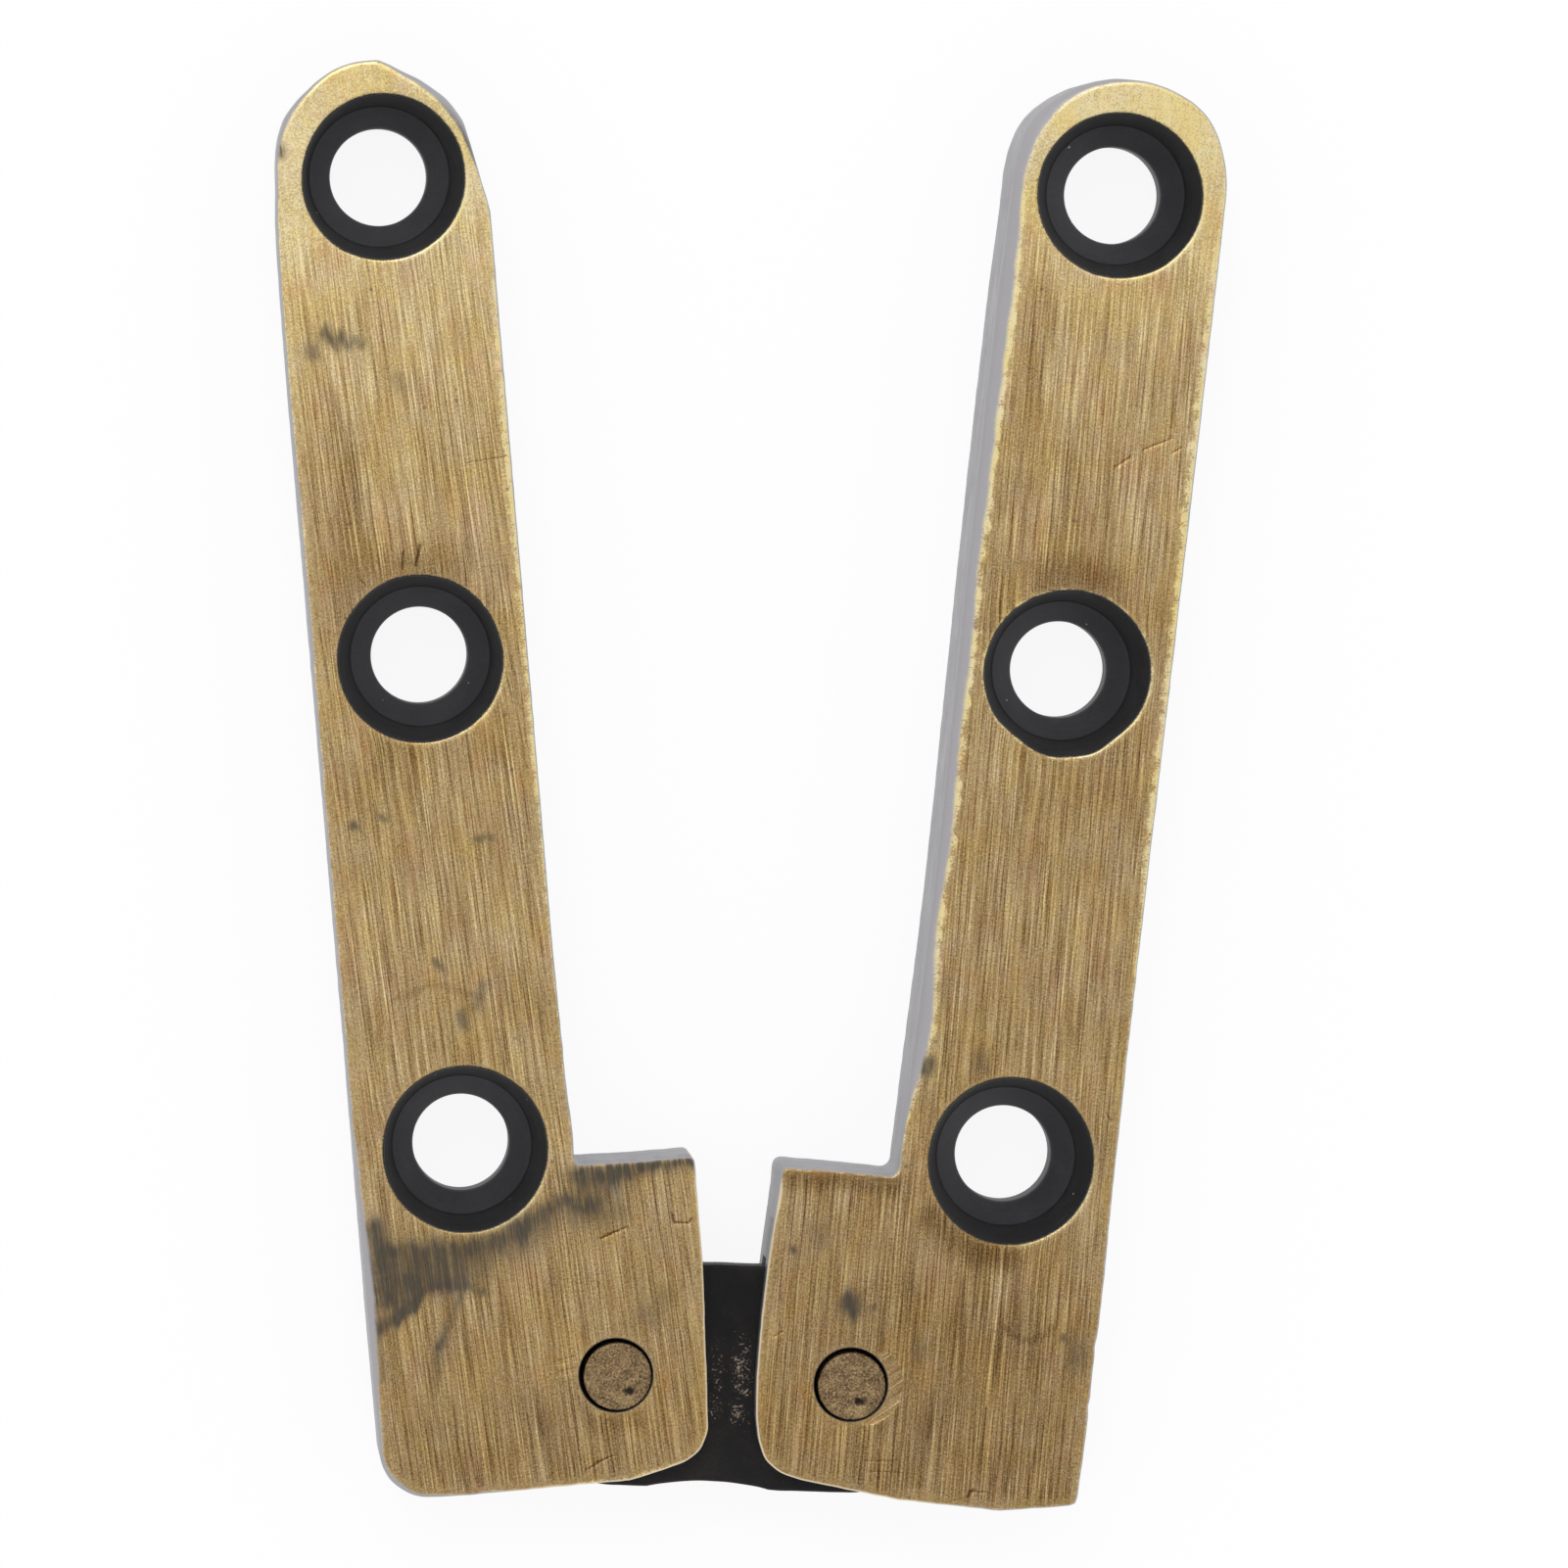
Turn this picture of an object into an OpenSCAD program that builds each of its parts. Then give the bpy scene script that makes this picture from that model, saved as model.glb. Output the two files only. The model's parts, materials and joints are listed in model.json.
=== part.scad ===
// Cabinet flap hinge: two slotted leaves turn on a shared link plate, each about its own pin.
// It lies on its back with the fixed leaf's arm along +Y, and +Z points to the countersunk front.
// The origin is on the axis of the fixed leaf's middle screw hole, at the back face. Millimetres.

/* [Leaves] */
// Thickness of both leaves
leaf_t = 6; // [5.5:0.1:9]
// Width of the arm
arm_w = 11.1; // [10:0.1:13]
// Distance from a pin's axis to the centre line of its arm
arm_offset = 6.9; // [6.6:0.1:8]
// Distance from the last screw hole to the round tip of the arm
tip_margin = 5.95; // [5:0.05:9]
// Reach of the foot past the pin, towards the other leaf
foot_inner = 5; // [4.6:0.1:6]
// Reach of the foot below the pin
foot_bottom = 5.6; // [4.8:0.1:6.5]
// Height of the foot's shoulder above the pin
foot_top = 10.85; // [9:0.05:14]
// Radius of the foot's lower corner on the inner side
inner_corner_r = 4.2; // [1:0.1:4.4]
// Radius of the fixed leaf's lower outer corner
fixed_outer_corner_r = 2.6; // [0.6:0.1:3.5]
// Radius of the moving leaf's lower outer corner, which is left sharper
moving_outer_corner_r = 0.9; // [0.6:0.1:3.5]
// Radius of the shoulder's corner
shoulder_corner_r = 0.5; // [0.4:0.05:2]
// Radius of the fillet in the step between arm and foot
step_fillet_r = 0.5; // [0.3:0.05:2]
// Size of the broken edge round the front face
edge_break = 0.2; // [0.1:0.05:0.3]
// Size of the heavier break along the inner edge of the moving arm
heavy_break = 0.5; // [0.3:0.05:0.8]
// Height above the pin at which the heavier break starts
heavy_break_start = 16; // [14:0.5:30]

/* [Screw holes] */
// Distance from the pin to the lowest screw hole
first_hole = 12.35; // [11:0.05:16]
// Distance from the lowest to the middle screw hole
lower_pitch = 25.3; // [12:0.1:40]
// Distance from the middle to the last screw hole
upper_pitch = 24.7; // [12:0.1:40]
// Diameter of the clear bore for the screw's shank
bore_d = 5; // [3:0.1:6]
// Diameter of the countersink at the front face
rim_d = 8.6; // [7.6:0.1:9.4]
// Diameter at which the steep wall of the countersink meets its cone
seat_d = 7.3; // [6.2:0.1:7.5]
// Depth of the steep wall
seat_depth = 2.4; // [1:0.1:2.8]
// Depth at which the cone reaches the bore
cone_depth = 4.2; // [3:0.1:4.8]

/* [Link and pins] */
// Diameter of both pins
pin_d = 3.5; // [2.5:0.1:4.5]
// Depth of a pin's ends below the leaf's faces
pin_sink = 0.1; // [0.05:0.05:0.4]
// Size of the broken edge on a pin's ends
pin_break = 0.15; // [0.05:0.05:0.4]
// Radial clearance between a pin and the link
running_gap = 0.05; // [0.02:0.01:0.1]
// Radial clearance between a pin and the hole in the front cheek
cheek_gap = 0.2; // [0.15:0.05:0.4]
// Offset of the front cheek's hole from the pin, towards the arm's tip
cheek_hole_shift = 0.1; // [0:0.05:0.1]
// Thickness of the link plate
link_t = 2.2; // [1.4:0.1:3]
// Clearance between the link and each cheek of the slot
side_gap = 0.1; // [0.05:0.05:0.3]
// Height of the link's flat top edge above the pins
link_top = 5.6; // [4:0.1:5.8]
// Depth of the link's lower lobes below the pins
link_bottom = 5.9; // [5.8:0.1:6.6]
// Clearance left at the stops, where the link's edges meet the slot's walls
stop_gap = 0.2; // [0.1:0.05:0.4]
// Clearance between the two feet where their corners pass each other
feet_gap = 0.4; // [0.2:0.05:1]
// Width of the shallow scallop in the link's lower edge
scallop_w = 6.3; // [3:0.1:7]
// Depth of that scallop
scallop_depth = 0.5; // [0.2:0.05:1]
// Offset of that scallop from the middle of the link, towards the fixed pin
scallop_offset = 1; // [0:0.1:1.5]
// Width of the hollow down the middle of the link's faces
hollow_w = 6; // [3:0.1:7]
// Depth of that hollow
hollow_depth = 0.25; // [0.1:0.05:0.4]

/* [Pose] */
// Angle between the fixed leaf and its closed position on the link
fixed_open = 7.25; // [0:0.25:90]
// Angle between the moving leaf and its closed position on the link
moving_open = 4; // [0:0.25:90]

/* [Hidden] */
$fn = 96;
over = 1;
trim = 0.05;
arm_outer = -arm_offset - arm_w / 2;
arm_inner = -arm_offset + arm_w / 2;
hole_heights = [first_hole, first_hole + lower_pitch, first_hole + lower_pitch + upper_pitch];
tip_height = hole_heights[2] + tip_margin - arm_w / 2;
foot_w = foot_inner - arm_outer;
foot_h = foot_top + foot_bottom;
slot_t = link_t + 2 * side_gap;
slot_outer = -link_bottom - stop_gap;
slot_top = link_top + stop_gap;
// The farthest point of a foot from its pin is on the lower inner corner
inner_corner = [foot_inner - inner_corner_r, inner_corner_r - foot_bottom];
foot_swing_r = norm(inner_corner) + inner_corner_r;
pin_pitch = 2 * foot_swing_r + feet_gap;
fixed_pin_at = [arm_offset, -hole_heights[1], 0];
// The link's lower lobes are circles that touch the bottom edge and pass through its end circles
lobe_drop = (link_bottom * link_bottom - link_top * link_top) / (2 * link_bottom);
lobe_r = link_bottom - lobe_drop;
scallop_r = (scallop_w * scallop_w / 4 + scallop_depth * scallop_depth) / (2 * scallop_depth);
hollow_r = (hollow_w * hollow_w / 4 + hollow_depth * hollow_depth) / (2 * hollow_depth);

// Placing: each leaf is drawn with its pin at the origin, its arm along +Y and its foot towards +X
module at_fixed_leaf() {
  translate(fixed_pin_at) children();
}

module at_link() {
  at_fixed_leaf() rotate(-fixed_open) children();
}

module at_moving_leaf() {
  at_link() translate([pin_pitch, 0, 0]) rotate(-moving_open) mirror([1, 0, 0]) children();
}

// What a radius leaves over in the corner of a square, with the corner at the origin
module corner_rest(r) {
  difference() {
    translate([-over, -over]) square(r + over);
    translate([r, r]) circle(r);
  }
}

module step_fillet(r) {
  difference() {
    translate([-trim, -trim]) square(r + trim);
    translate([r, r]) circle(r);
  }
}

module leaf_outline(outer_corner_r) {
  difference() {
    union() {
      translate([arm_outer, -foot_bottom]) square([arm_w, tip_height + foot_bottom]);
      translate([-arm_offset, tip_height]) circle(d = arm_w);
      translate([arm_outer, -foot_bottom]) square([foot_w, foot_h]);
      translate([arm_inner, foot_top]) step_fillet(step_fillet_r);
    }
    translate([arm_outer, -foot_bottom]) corner_rest(outer_corner_r);
    translate([foot_inner, -foot_bottom]) mirror([1, 0]) corner_rest(inner_corner_r);
    translate([foot_inner, foot_top]) rotate(180) corner_rest(shoulder_corner_r);
  }
}

// Wedge that breaks a straight front edge from p to q, with the solid on the left of the way
module straight_break(p, q, size) {
  along = q - p;
  translate([p.x, p.y, leaf_t]) rotate(atan2(along.y, along.x)) rotate([90, 0, 90])
    linear_extrude(norm(along))
      polygon([[-trim, -size - trim], [-trim, trim], [size + trim, trim]]);
}

// Wedge that breaks a round front edge about c, from one angle over a sweep
// bulge is 1 where the solid is inside the arc and -1 where it is outside
module round_break(c, r, from, sweep, bulge = 1) {
  translate([c.x, c.y, leaf_t]) rotate(from) rotate_extrude(angle = sweep)
    polygon([
      [r + bulge * trim, -edge_break - trim],
      [r + bulge * trim, trim],
      [r - bulge * (edge_break + trim), trim]
    ]);
}

// Wedges along the front edges of a leaf, round its outline
module front_breaks(outer_corner_r) {
  outer_corner = [arm_outer + outer_corner_r, outer_corner_r - foot_bottom];
  shoulder_corner = [foot_inner - shoulder_corner_r, foot_top - shoulder_corner_r];
  step_corner = [arm_inner + step_fillet_r, foot_top + step_fillet_r];
  straight_break([arm_outer, tip_height], [arm_outer, outer_corner.y], edge_break);
  round_break(outer_corner, outer_corner_r, 180, 90);
  straight_break([outer_corner.x, -foot_bottom], [inner_corner.x, -foot_bottom], edge_break);
  round_break(inner_corner, inner_corner_r, 270, 90);
  straight_break([foot_inner, inner_corner.y], [foot_inner, shoulder_corner.y], edge_break);
  round_break(shoulder_corner, shoulder_corner_r, 0, 90);
  straight_break([shoulder_corner.x, foot_top], [step_corner.x, foot_top], edge_break);
  round_break(step_corner, step_fillet_r, 180, 90, -1);
  straight_break([arm_inner, step_corner.y], [arm_inner, tip_height], edge_break);
  round_break([-arm_offset, tip_height], arm_w / 2, 0, 180);
}

module screw_hole() {
  translate([0, 0, -over]) cylinder(d = bore_d, h = leaf_t + over);
  translate([0, 0, leaf_t - cone_depth])
    cylinder(d1 = bore_d, d2 = seat_d, h = cone_depth - seat_depth);
  translate([0, 0, leaf_t - seat_depth]) cylinder(d1 = seat_d, d2 = rim_d, h = seat_depth);
  translate([0, 0, leaf_t]) cylinder(d = rim_d, h = over);
}

// Slot between the two cheeks of a foot, open to the inner side and downwards
module slot() {
  translate([slot_outer, -foot_bottom - over, (leaf_t - slot_t) / 2])
    cube([foot_inner + over - slot_outer, slot_top + foot_bottom + over, slot_t]);
}

// Tight hole through the back cheek and an easy one through the front cheek
module pin_holes() {
  translate([0, 0, -over]) cylinder(d = pin_d, h = leaf_t / 2 + over);
  translate([0, cheek_hole_shift, leaf_t / 2])
    cylinder(d = pin_d + 2 * cheek_gap, h = leaf_t / 2 + over);
}

module leaf(outer_corner_r) {
  difference() {
    linear_extrude(leaf_t) leaf_outline(outer_corner_r);
    front_breaks(outer_corner_r);
    for (height = hole_heights) {
      translate([-arm_offset, height, 0]) screw_hole();
    }
    slot();
    pin_holes();
  }
}

module pin() {
  translate([0, 0, pin_sink]) {
    cylinder(d1 = pin_d - 2 * pin_break, d2 = pin_d, h = pin_break);
    translate([0, 0, pin_break]) cylinder(d = pin_d, h = leaf_t - 2 * pin_sink - 2 * pin_break);
    translate([0, 0, leaf_t - 2 * pin_sink - pin_break])
      cylinder(d1 = pin_d, d2 = pin_d - 2 * pin_break, h = pin_break);
  }
}

module link_outline() {
  difference() {
    union() {
      translate([0, -link_bottom]) square([pin_pitch, link_top + link_bottom]);
      for (x = [0, pin_pitch]) {
        translate([x, 0]) circle(link_top);
        translate([x, -lobe_drop]) circle(lobe_r);
      }
    }
    translate([pin_pitch / 2 - scallop_offset, scallop_depth - link_bottom - scallop_r])
      circle(scallop_r);
    for (x = [0, pin_pitch]) {
      translate([x, 0]) circle(d = pin_d + 2 * running_gap);
    }
  }
}

module fixed_leaf() {
  color("#ae946a") at_fixed_leaf() leaf(fixed_outer_corner_r);
}

module moving_leaf() {
  color("#a58b62") at_moving_leaf() difference() {
    leaf(moving_outer_corner_r);
    straight_break([arm_inner, heavy_break_start], [arm_inner, tip_height], heavy_break);
  }
}

module link_plate() {
  color("#2b2928") at_link() translate([0, 0, (leaf_t - link_t) / 2]) difference() {
    linear_extrude(link_t) link_outline();
    for (face = [-hollow_r + hollow_depth, link_t + hollow_r - hollow_depth]) {
      translate([pin_pitch / 2, 0, face]) rotate([90, 0, 0])
        cylinder(r = hollow_r, h = 2 * (link_bottom + over), center = true);
    }
  }
}

module fixed_pin() {
  color("#7e6851") at_fixed_leaf() pin();
}

module moving_pin() {
  color("#7c6850") at_moving_leaf() pin();
}

fixed_leaf();
moving_leaf();
link_plate();
fixed_pin();
moving_pin();
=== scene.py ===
"""Cabinet flap hinge: the finished leaves, link plate and pins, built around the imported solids."""

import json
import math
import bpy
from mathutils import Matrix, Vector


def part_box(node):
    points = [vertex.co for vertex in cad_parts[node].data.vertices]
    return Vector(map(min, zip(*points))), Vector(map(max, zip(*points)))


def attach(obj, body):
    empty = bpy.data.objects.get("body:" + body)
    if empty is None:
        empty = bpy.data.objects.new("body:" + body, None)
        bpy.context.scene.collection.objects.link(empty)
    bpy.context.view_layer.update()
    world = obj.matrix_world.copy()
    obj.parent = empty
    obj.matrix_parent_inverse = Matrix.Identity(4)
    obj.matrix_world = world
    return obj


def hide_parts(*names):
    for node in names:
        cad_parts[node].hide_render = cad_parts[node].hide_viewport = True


bl_info = {
    "name": "Cabinet Flap Hinge",
    "version": (1, 0, 0),
    "blender": (4, 5, 0),
    "location": "3D View > Sidebar > Flap Hinge",
    "description": "Builds the finished pieces of a cabinet flap hinge and its stage",
    "category": "Add Mesh",
}

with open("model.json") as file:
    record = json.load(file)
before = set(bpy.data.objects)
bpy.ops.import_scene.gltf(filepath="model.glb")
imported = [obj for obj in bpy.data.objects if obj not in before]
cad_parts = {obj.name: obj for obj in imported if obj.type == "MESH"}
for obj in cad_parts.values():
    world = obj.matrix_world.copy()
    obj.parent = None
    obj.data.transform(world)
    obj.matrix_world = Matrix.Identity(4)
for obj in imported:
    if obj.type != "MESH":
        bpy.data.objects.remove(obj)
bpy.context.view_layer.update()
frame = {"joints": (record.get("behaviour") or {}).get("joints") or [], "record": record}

import bmesh
import bpy
import numpy as np
from mathutils import Matrix, Vector, geometry, kdtree, noise

# Facts of the frame, in millimetres

MM = 0.001
MOUNTS = {mount["name"]: mount for mount in frame["record"]["mounts"]}
JOINTS = {joint["name"]: joint for joint in frame["joints"]}
LEAF_LOW, LEAF_HIGH = (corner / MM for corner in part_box("fixed_leaf"))
LINK_LOW, LINK_HIGH = (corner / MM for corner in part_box("link_plate"))
PIN_LOW, PIN_HIGH = (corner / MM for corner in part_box("fixed_pin"))
LEAF_THICKNESS = LEAF_HIGH.z - LEAF_LOW.z
LINK_THICKNESS = LINK_HIGH.z - LINK_LOW.z
PIN_DIAMETER = PIN_HIGH.x - PIN_LOW.x
BORE_RADIUS = MOUNTS["fixed_hole_1"]["dims"]["r_mm"]
FIXED_PIVOT = JOINTS["link_pivot"]["pos_m"]
MOVING_PIVOT = JOINTS["leaf_pivot"]["pos_m"]

# Fineness of the meshes, in millimetres or in counts

OUTLINE_STEP = 0.15
FRONT_STEP = 0.15
COARSE_STEP = 0.9
LINK_STEP = 0.25
CUT_STEP = 0.08
EDGE_CUTS = 5
LINK_EDGE_CUTS = 4
HOLE_COLUMNS = 96
HOLE_ROWS = 40
PIN_COLUMNS = 128
PIN_ROWS = 96

# Small lengths, in millimetres: points closer than the merge gap are one, heights within the slack are the
# same, and the pin's hole in the front cheek has a lip.

MERGE_GAP = 0.002
LEVEL_SLACK = 0.01
PIN_HOLE_LIP = 0.05

# Finishes of a leaf's faces, in the order of its materials

GOLD, SATIN, BLACK = range(3)


def srgb(red, green, blue):
    """Linear colour for a display colour given from 0 to 255."""
    shares = (channel / 255 for channel in (red, green, blue))
    linear = [c / 12.92 if c <= 0.04045 else ((c + 0.055) / 1.055) ** 2.4 for c in shares]
    return (*linear, 1.0)


def length(name, description, millimetres):
    """Property for a length."""
    return bpy.props.FloatProperty(
        name=name, description=description, default=millimetres * MM, unit="LENGTH", precision=5)


def amount(name, description, default):
    """Property for a plain number."""
    return bpy.props.FloatProperty(name=name, description=description, default=default)


def colour(name, description, default):
    """Property for a colour."""
    return bpy.props.FloatVectorProperty(
        name=name, description=description, default=default, size=4, subtype="COLOR", min=0, max=1)


def turning(name, description, degrees):
    """Property for an angle."""
    return bpy.props.FloatProperty(
        name=name, description=description, default=math.radians(degrees), subtype="ANGLE")


def position(name, description, metres):
    """Property for a place in the hinge's frame."""
    return bpy.props.FloatVectorProperty(
        name=name, description=description, default=metres, subtype="TRANSLATION", unit="LENGTH")


class LeafSizes:
    """Sizes of one leaf, from its pin: across towards the other leaf, and along the arm."""

    arm_outer: length("Arm outer side", "From the pin out to the arm's outer side", 12.5)
    arm_inner: length("Arm inner side", "From the pin out to the arm's inner side", 1.46)
    foot_inner: length("Foot inner side", "From the pin in to the foot's inner side", 4.87)
    foot_bottom: length("Foot bottom", "From the pin down to the foot's lower edge", 5.47)
    foot_top: length("Foot shoulder", "From the pin up to the foot's shoulder", 10.9)
    tip_top: length("Arm tip", "From the pin up to the arm's tip", 68.28)
    tip_radius: length("Tip radius", "Radius of the arm's round tip", 5.5)
    outer_corner: length("Outer corner", "Radius of the foot's lower outer corner", 2.5)
    inner_corner: length("Inner corner", "Radius of the foot's lower inner corner", 2.0)
    shoulder_corner: length("Shoulder corner", "Radius of the shoulder's corner", 0.3)
    step_fillet: length("Step fillet", "Radius of the step between arm and foot", 0.5)
    edge_round: length("Edge rounding", "Rounding of the front edges", 0.2)
    brush_turn: turning("Brush turn", "Angle of the brush lines from the arm", -3.5)


class FixedLeafSizes(LeafSizes, bpy.types.PropertyGroup):
    """Sizes of the fixed leaf."""


class MovingLeafSizes(LeafSizes, bpy.types.PropertyGroup):
    """Sizes of the moving leaf, which is finished a little differently."""

    arm_outer: length("Arm outer side", "From the pin out to the arm's outer side", 12.36)
    arm_inner: length("Arm inner side", "From the pin out to the arm's inner side", 1.2)
    foot_inner: length("Foot inner side", "From the pin in to the foot's inner side", 4.94)
    foot_bottom: length("Foot bottom", "From the pin down to the foot's lower edge", 5.74)
    tip_top: length("Arm tip", "From the pin up to the arm's tip", 68.25)
    outer_corner: length("Outer corner", "Radius of the foot's lower outer corner", 1.2)
    shoulder_corner: length("Shoulder corner", "Radius of the shoulder's corner", 0.5)
    edge_round: length("Edge rounding", "Rounding of the front edges", 0.18)
    brush_turn: turning("Brush turn", "Angle of the brush lines from the arm", 1.0)


class HoleSizes(bpy.types.PropertyGroup):
    """Sizes of the screw holes, and of the slot and pin holes in the feet."""

    rim: length("Rim radius", "Radius of the countersink at the front", 4.2)
    lip: length("Lip", "Rounding of the countersink's rim", 0.18)
    seat: length("Seat radius", "Radius where the steep wall meets the cone", 3.65)
    seat_depth: length("Seat depth", "Depth of the steep wall", 2.4)
    cone_depth: length("Cone depth", "Depth at which the cone reaches the bore", 4.2)
    bore: length("Bore radius", "Radius of the bore for the screw", BORE_RADIUS)
    slot_outer: length("Slot reach", "From the pin out to the slot's end wall", 6.1)
    slot_top: length("Slot top", "From the pin up to the slot's top wall", 5.8)
    slot_gap: length("Slot gap", "Clearance of the link in the slot", 0.1)
    cheek: length("Front pin hole", "Radius of the pin's hole in the front cheek", 1.89)


class LinkSizes(bpy.types.PropertyGroup):
    """Sizes of the link plate, from the line between its two pins."""

    top: length("Top edge", "From the pins up to the flat top edge", 5.67)
    bottom: length("Lower lobes", "From the pins down to the lower lobes", 5.9)
    hole: length("Hole radius", "Radius of the two pin holes", 1.8)
    scallop_width: length("Scallop width", "Width of the scallop in the lower edge", 6.3)
    scallop_depth: length("Scallop depth", "Depth of the scallop in the lower edge", 0.34)
    scallop_offset: length("Scallop offset", "Offset of the scallop towards the fixed pin", 1.0)
    hollow_width: length("Hollow width", "Width of the hollow down both faces", 6.0)
    hollow_depth: length("Hollow depth", "Depth of the hollow down both faces", 0.25)
    edge_round: length("Edge rounding", "Rounding of the plate's edges", 0.16)


class PinSizes(bpy.types.PropertyGroup):
    """Sizes of the pins and of the hammering on their ends."""

    rim_round: length("Rim rounding", "Rounding of the pin's ends", 0.08)
    pit_depth: length("Pit depth", "Depth of the hammered pits", 0.03)
    pit_size: length("Pit size", "Distance between the hammered pits", 0.5)
    dent_radius: length("Dent radius", "Radius of the punched dent", 0.5)
    dent_depth: length("Dent depth", "Depth of the punched dent", 0.14)


class FinishColours(bpy.types.PropertyGroup):
    """Colours of the finishes."""

    # The side patina is lightened partly as painted reflection, for the white that the sides reflect seen
    # edge-on. The bevel patina is paler still, as painted sheen on the rounded edges.
    side: colour("Side patina", "Satin grey of the sides and backs", (0.21, 0.205, 0.228, 1))
    side_worn: colour("Worn side patina", "Side patina rubbed thin", (0.335, 0.326, 0.345, 1))
    bevel: colour("Bevel patina", "Palest patina on the rounded edges", (0.345, 0.335, 0.35, 1))
    edge: colour("Edge gold", "Pale gold of the feet's rounded edges", srgb(222, 206, 178))
    sunk: colour("Hole black", "Black patina of the countersinks", (0.018, 0.0165, 0.018, 1))
    sunk_worn: colour("Worn hole black", "Countersink's patina rubbed thin", (0.032, 0.03, 0.032, 1))
    # The cones' lighter, bluer black is painted sheen on the same patina as the walls, where the cones face
    # up.
    cone: colour("Cone black", "Bluer black of the countersinks' cones", (0.04, 0.039, 0.045, 1))
    cone_worn: colour("Worn cone black", "Cone's black rubbed thin", (0.058, 0.056, 0.064, 1))
    tarnish: colour("Tarnish", "Darkest brown of the linished face", srgb(84, 64, 41))
    brown: colour("Brown brass", "Brown brass in the brush lines", srgb(138, 112, 79))
    gold: colour("Gold brass", "Middle gold of the linished face", srgb(172, 147, 110))
    bright: colour("Bright brass", "Bright gold of the fresh lines", srgb(206, 183, 142))
    # Pale brass is reached at rubbed edges, partly as wear and partly as a painted highlight.
    pale: colour("Pale brass", "Palest gold at rubbed edges", srgb(238, 224, 180))
    warm: colour("Warm patches", "Tint of the redder patches", (1.0, 0.85, 0.84, 1))
    golden: colour("Golden cast", "Tint of the yellower clouds", (1.0, 0.94, 0.69, 1))
    green: colour("Green patches", "Tint of the greener patches", (0.86, 0.9, 0.76, 1))
    smear: colour("Smear", "Greenish black of the stains", srgb(50, 49, 46))
    # The worn link black also lightens the plate either side of its middle, partly as painted sheen.
    link: colour("Link black", "Black of the link plate", (0.006, 0.0055, 0.0055, 1))
    link_worn: colour("Worn link black", "Link plate's black rubbed thin", (0.024, 0.02, 0.0185, 1))
    link_fleck: colour("Link fleck", "Pale flecks on the link plate", srgb(182, 160, 140))
    dust: colour("Dust", "Dust in the holes", srgb(210, 208, 204))
    pin_dark: colour("Pin pits", "Dark brown of the pin's pits", srgb(62, 48, 38))
    pin_brown: colour("Pin brown", "Middle brown of the pins", srgb(128, 104, 76))
    pin_light: colour("Pin light", "Light gold of the pin's high spots", srgb(196, 170, 124))
    pin_dent: colour("Pin dent", "Bluish black in the pin's dents", srgb(56, 48, 48))


class StageSizes(bpy.types.PropertyGroup):
    """Camera and light."""

    camera_place: position("Camera place", "Where the camera stands", (-0.01418, 0.01789, 0.49695))
    camera_aim: position("Camera aim", "Point in the middle of the picture", (0.01798, -0.00805, 0.006))
    camera_turn: turning("Camera turn", "Turn of the picture about the line of sight", 4.779)
    lens: bpy.props.FloatProperty(
        name="Lens", description="Focal length for a 36 mm sensor", unit="CAMERA", default=220.27)
    dome_top: amount("Dome overhead", "Brightness of the dome overhead", 0.8)
    dome_rim: amount("Dome horizon", "Brightness of the dome at the horizon", 1.0)
    lamp_place: position("Lamp place", "Where the soft lamp hangs", (-0.05, 0.32, 0.52))
    lamp_power: amount("Lamp power", "Power of the soft lamp, in watts", 0.7)
    lamp_size: length("Lamp size", "Side of the soft lamp", 260)
    shadow_share: bpy.props.FloatProperty(
        name="Shadow share", description="How much of the object's shadow the white floor keeps",
        subtype="FACTOR", min=0, max=1, default=0.1)


class HingeSettings(bpy.types.PropertyGroup):
    """All sizes and colours of the hinge."""

    fixed: bpy.props.PointerProperty(type=FixedLeafSizes)
    moving: bpy.props.PointerProperty(type=MovingLeafSizes)
    holes: bpy.props.PointerProperty(type=HoleSizes)
    link: bpy.props.PointerProperty(type=LinkSizes)
    pins: bpy.props.PointerProperty(type=PinSizes)
    colours: bpy.props.PointerProperty(type=FinishColours)
    stage: bpy.props.PointerProperty(type=StageSizes)


# Marks of use and painted highlights on each leaf, in leaf millimetres: across towards the other leaf, and
# along the arm.
# Facets are filed flats on the outline, each from one place to another.
# Drift pushes the outline near a place: across, along, reach, push outwards.
# Rounds widen the edge rounding near a place: across, along, reach, extra.
# Smears and shades are strokes: width, strength, places. Smears are greenish black, shades brown.
# Cuts are scratches and nicks: width, depth, tone, places. A tone above zero is bright.
# Spots are faint round sinkings with scraped lines: across, along, radius, depth, tone, angle of the deep
# side, angle of the lines.
# Lean draws the front edge in near a place: across, along, reach, amount. Rubs brighten the edge there,
# partly as rubbed brass and partly as a painted highlight.
# Lumps push a countersink's rim: hole, angle, reach in degrees, push outwards.
# The pin's hole in the front cheek lies a little aside of the pin, and the base tone differs.
# Lit is the angle at which the countersinks' rims get a painted highlight.

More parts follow.
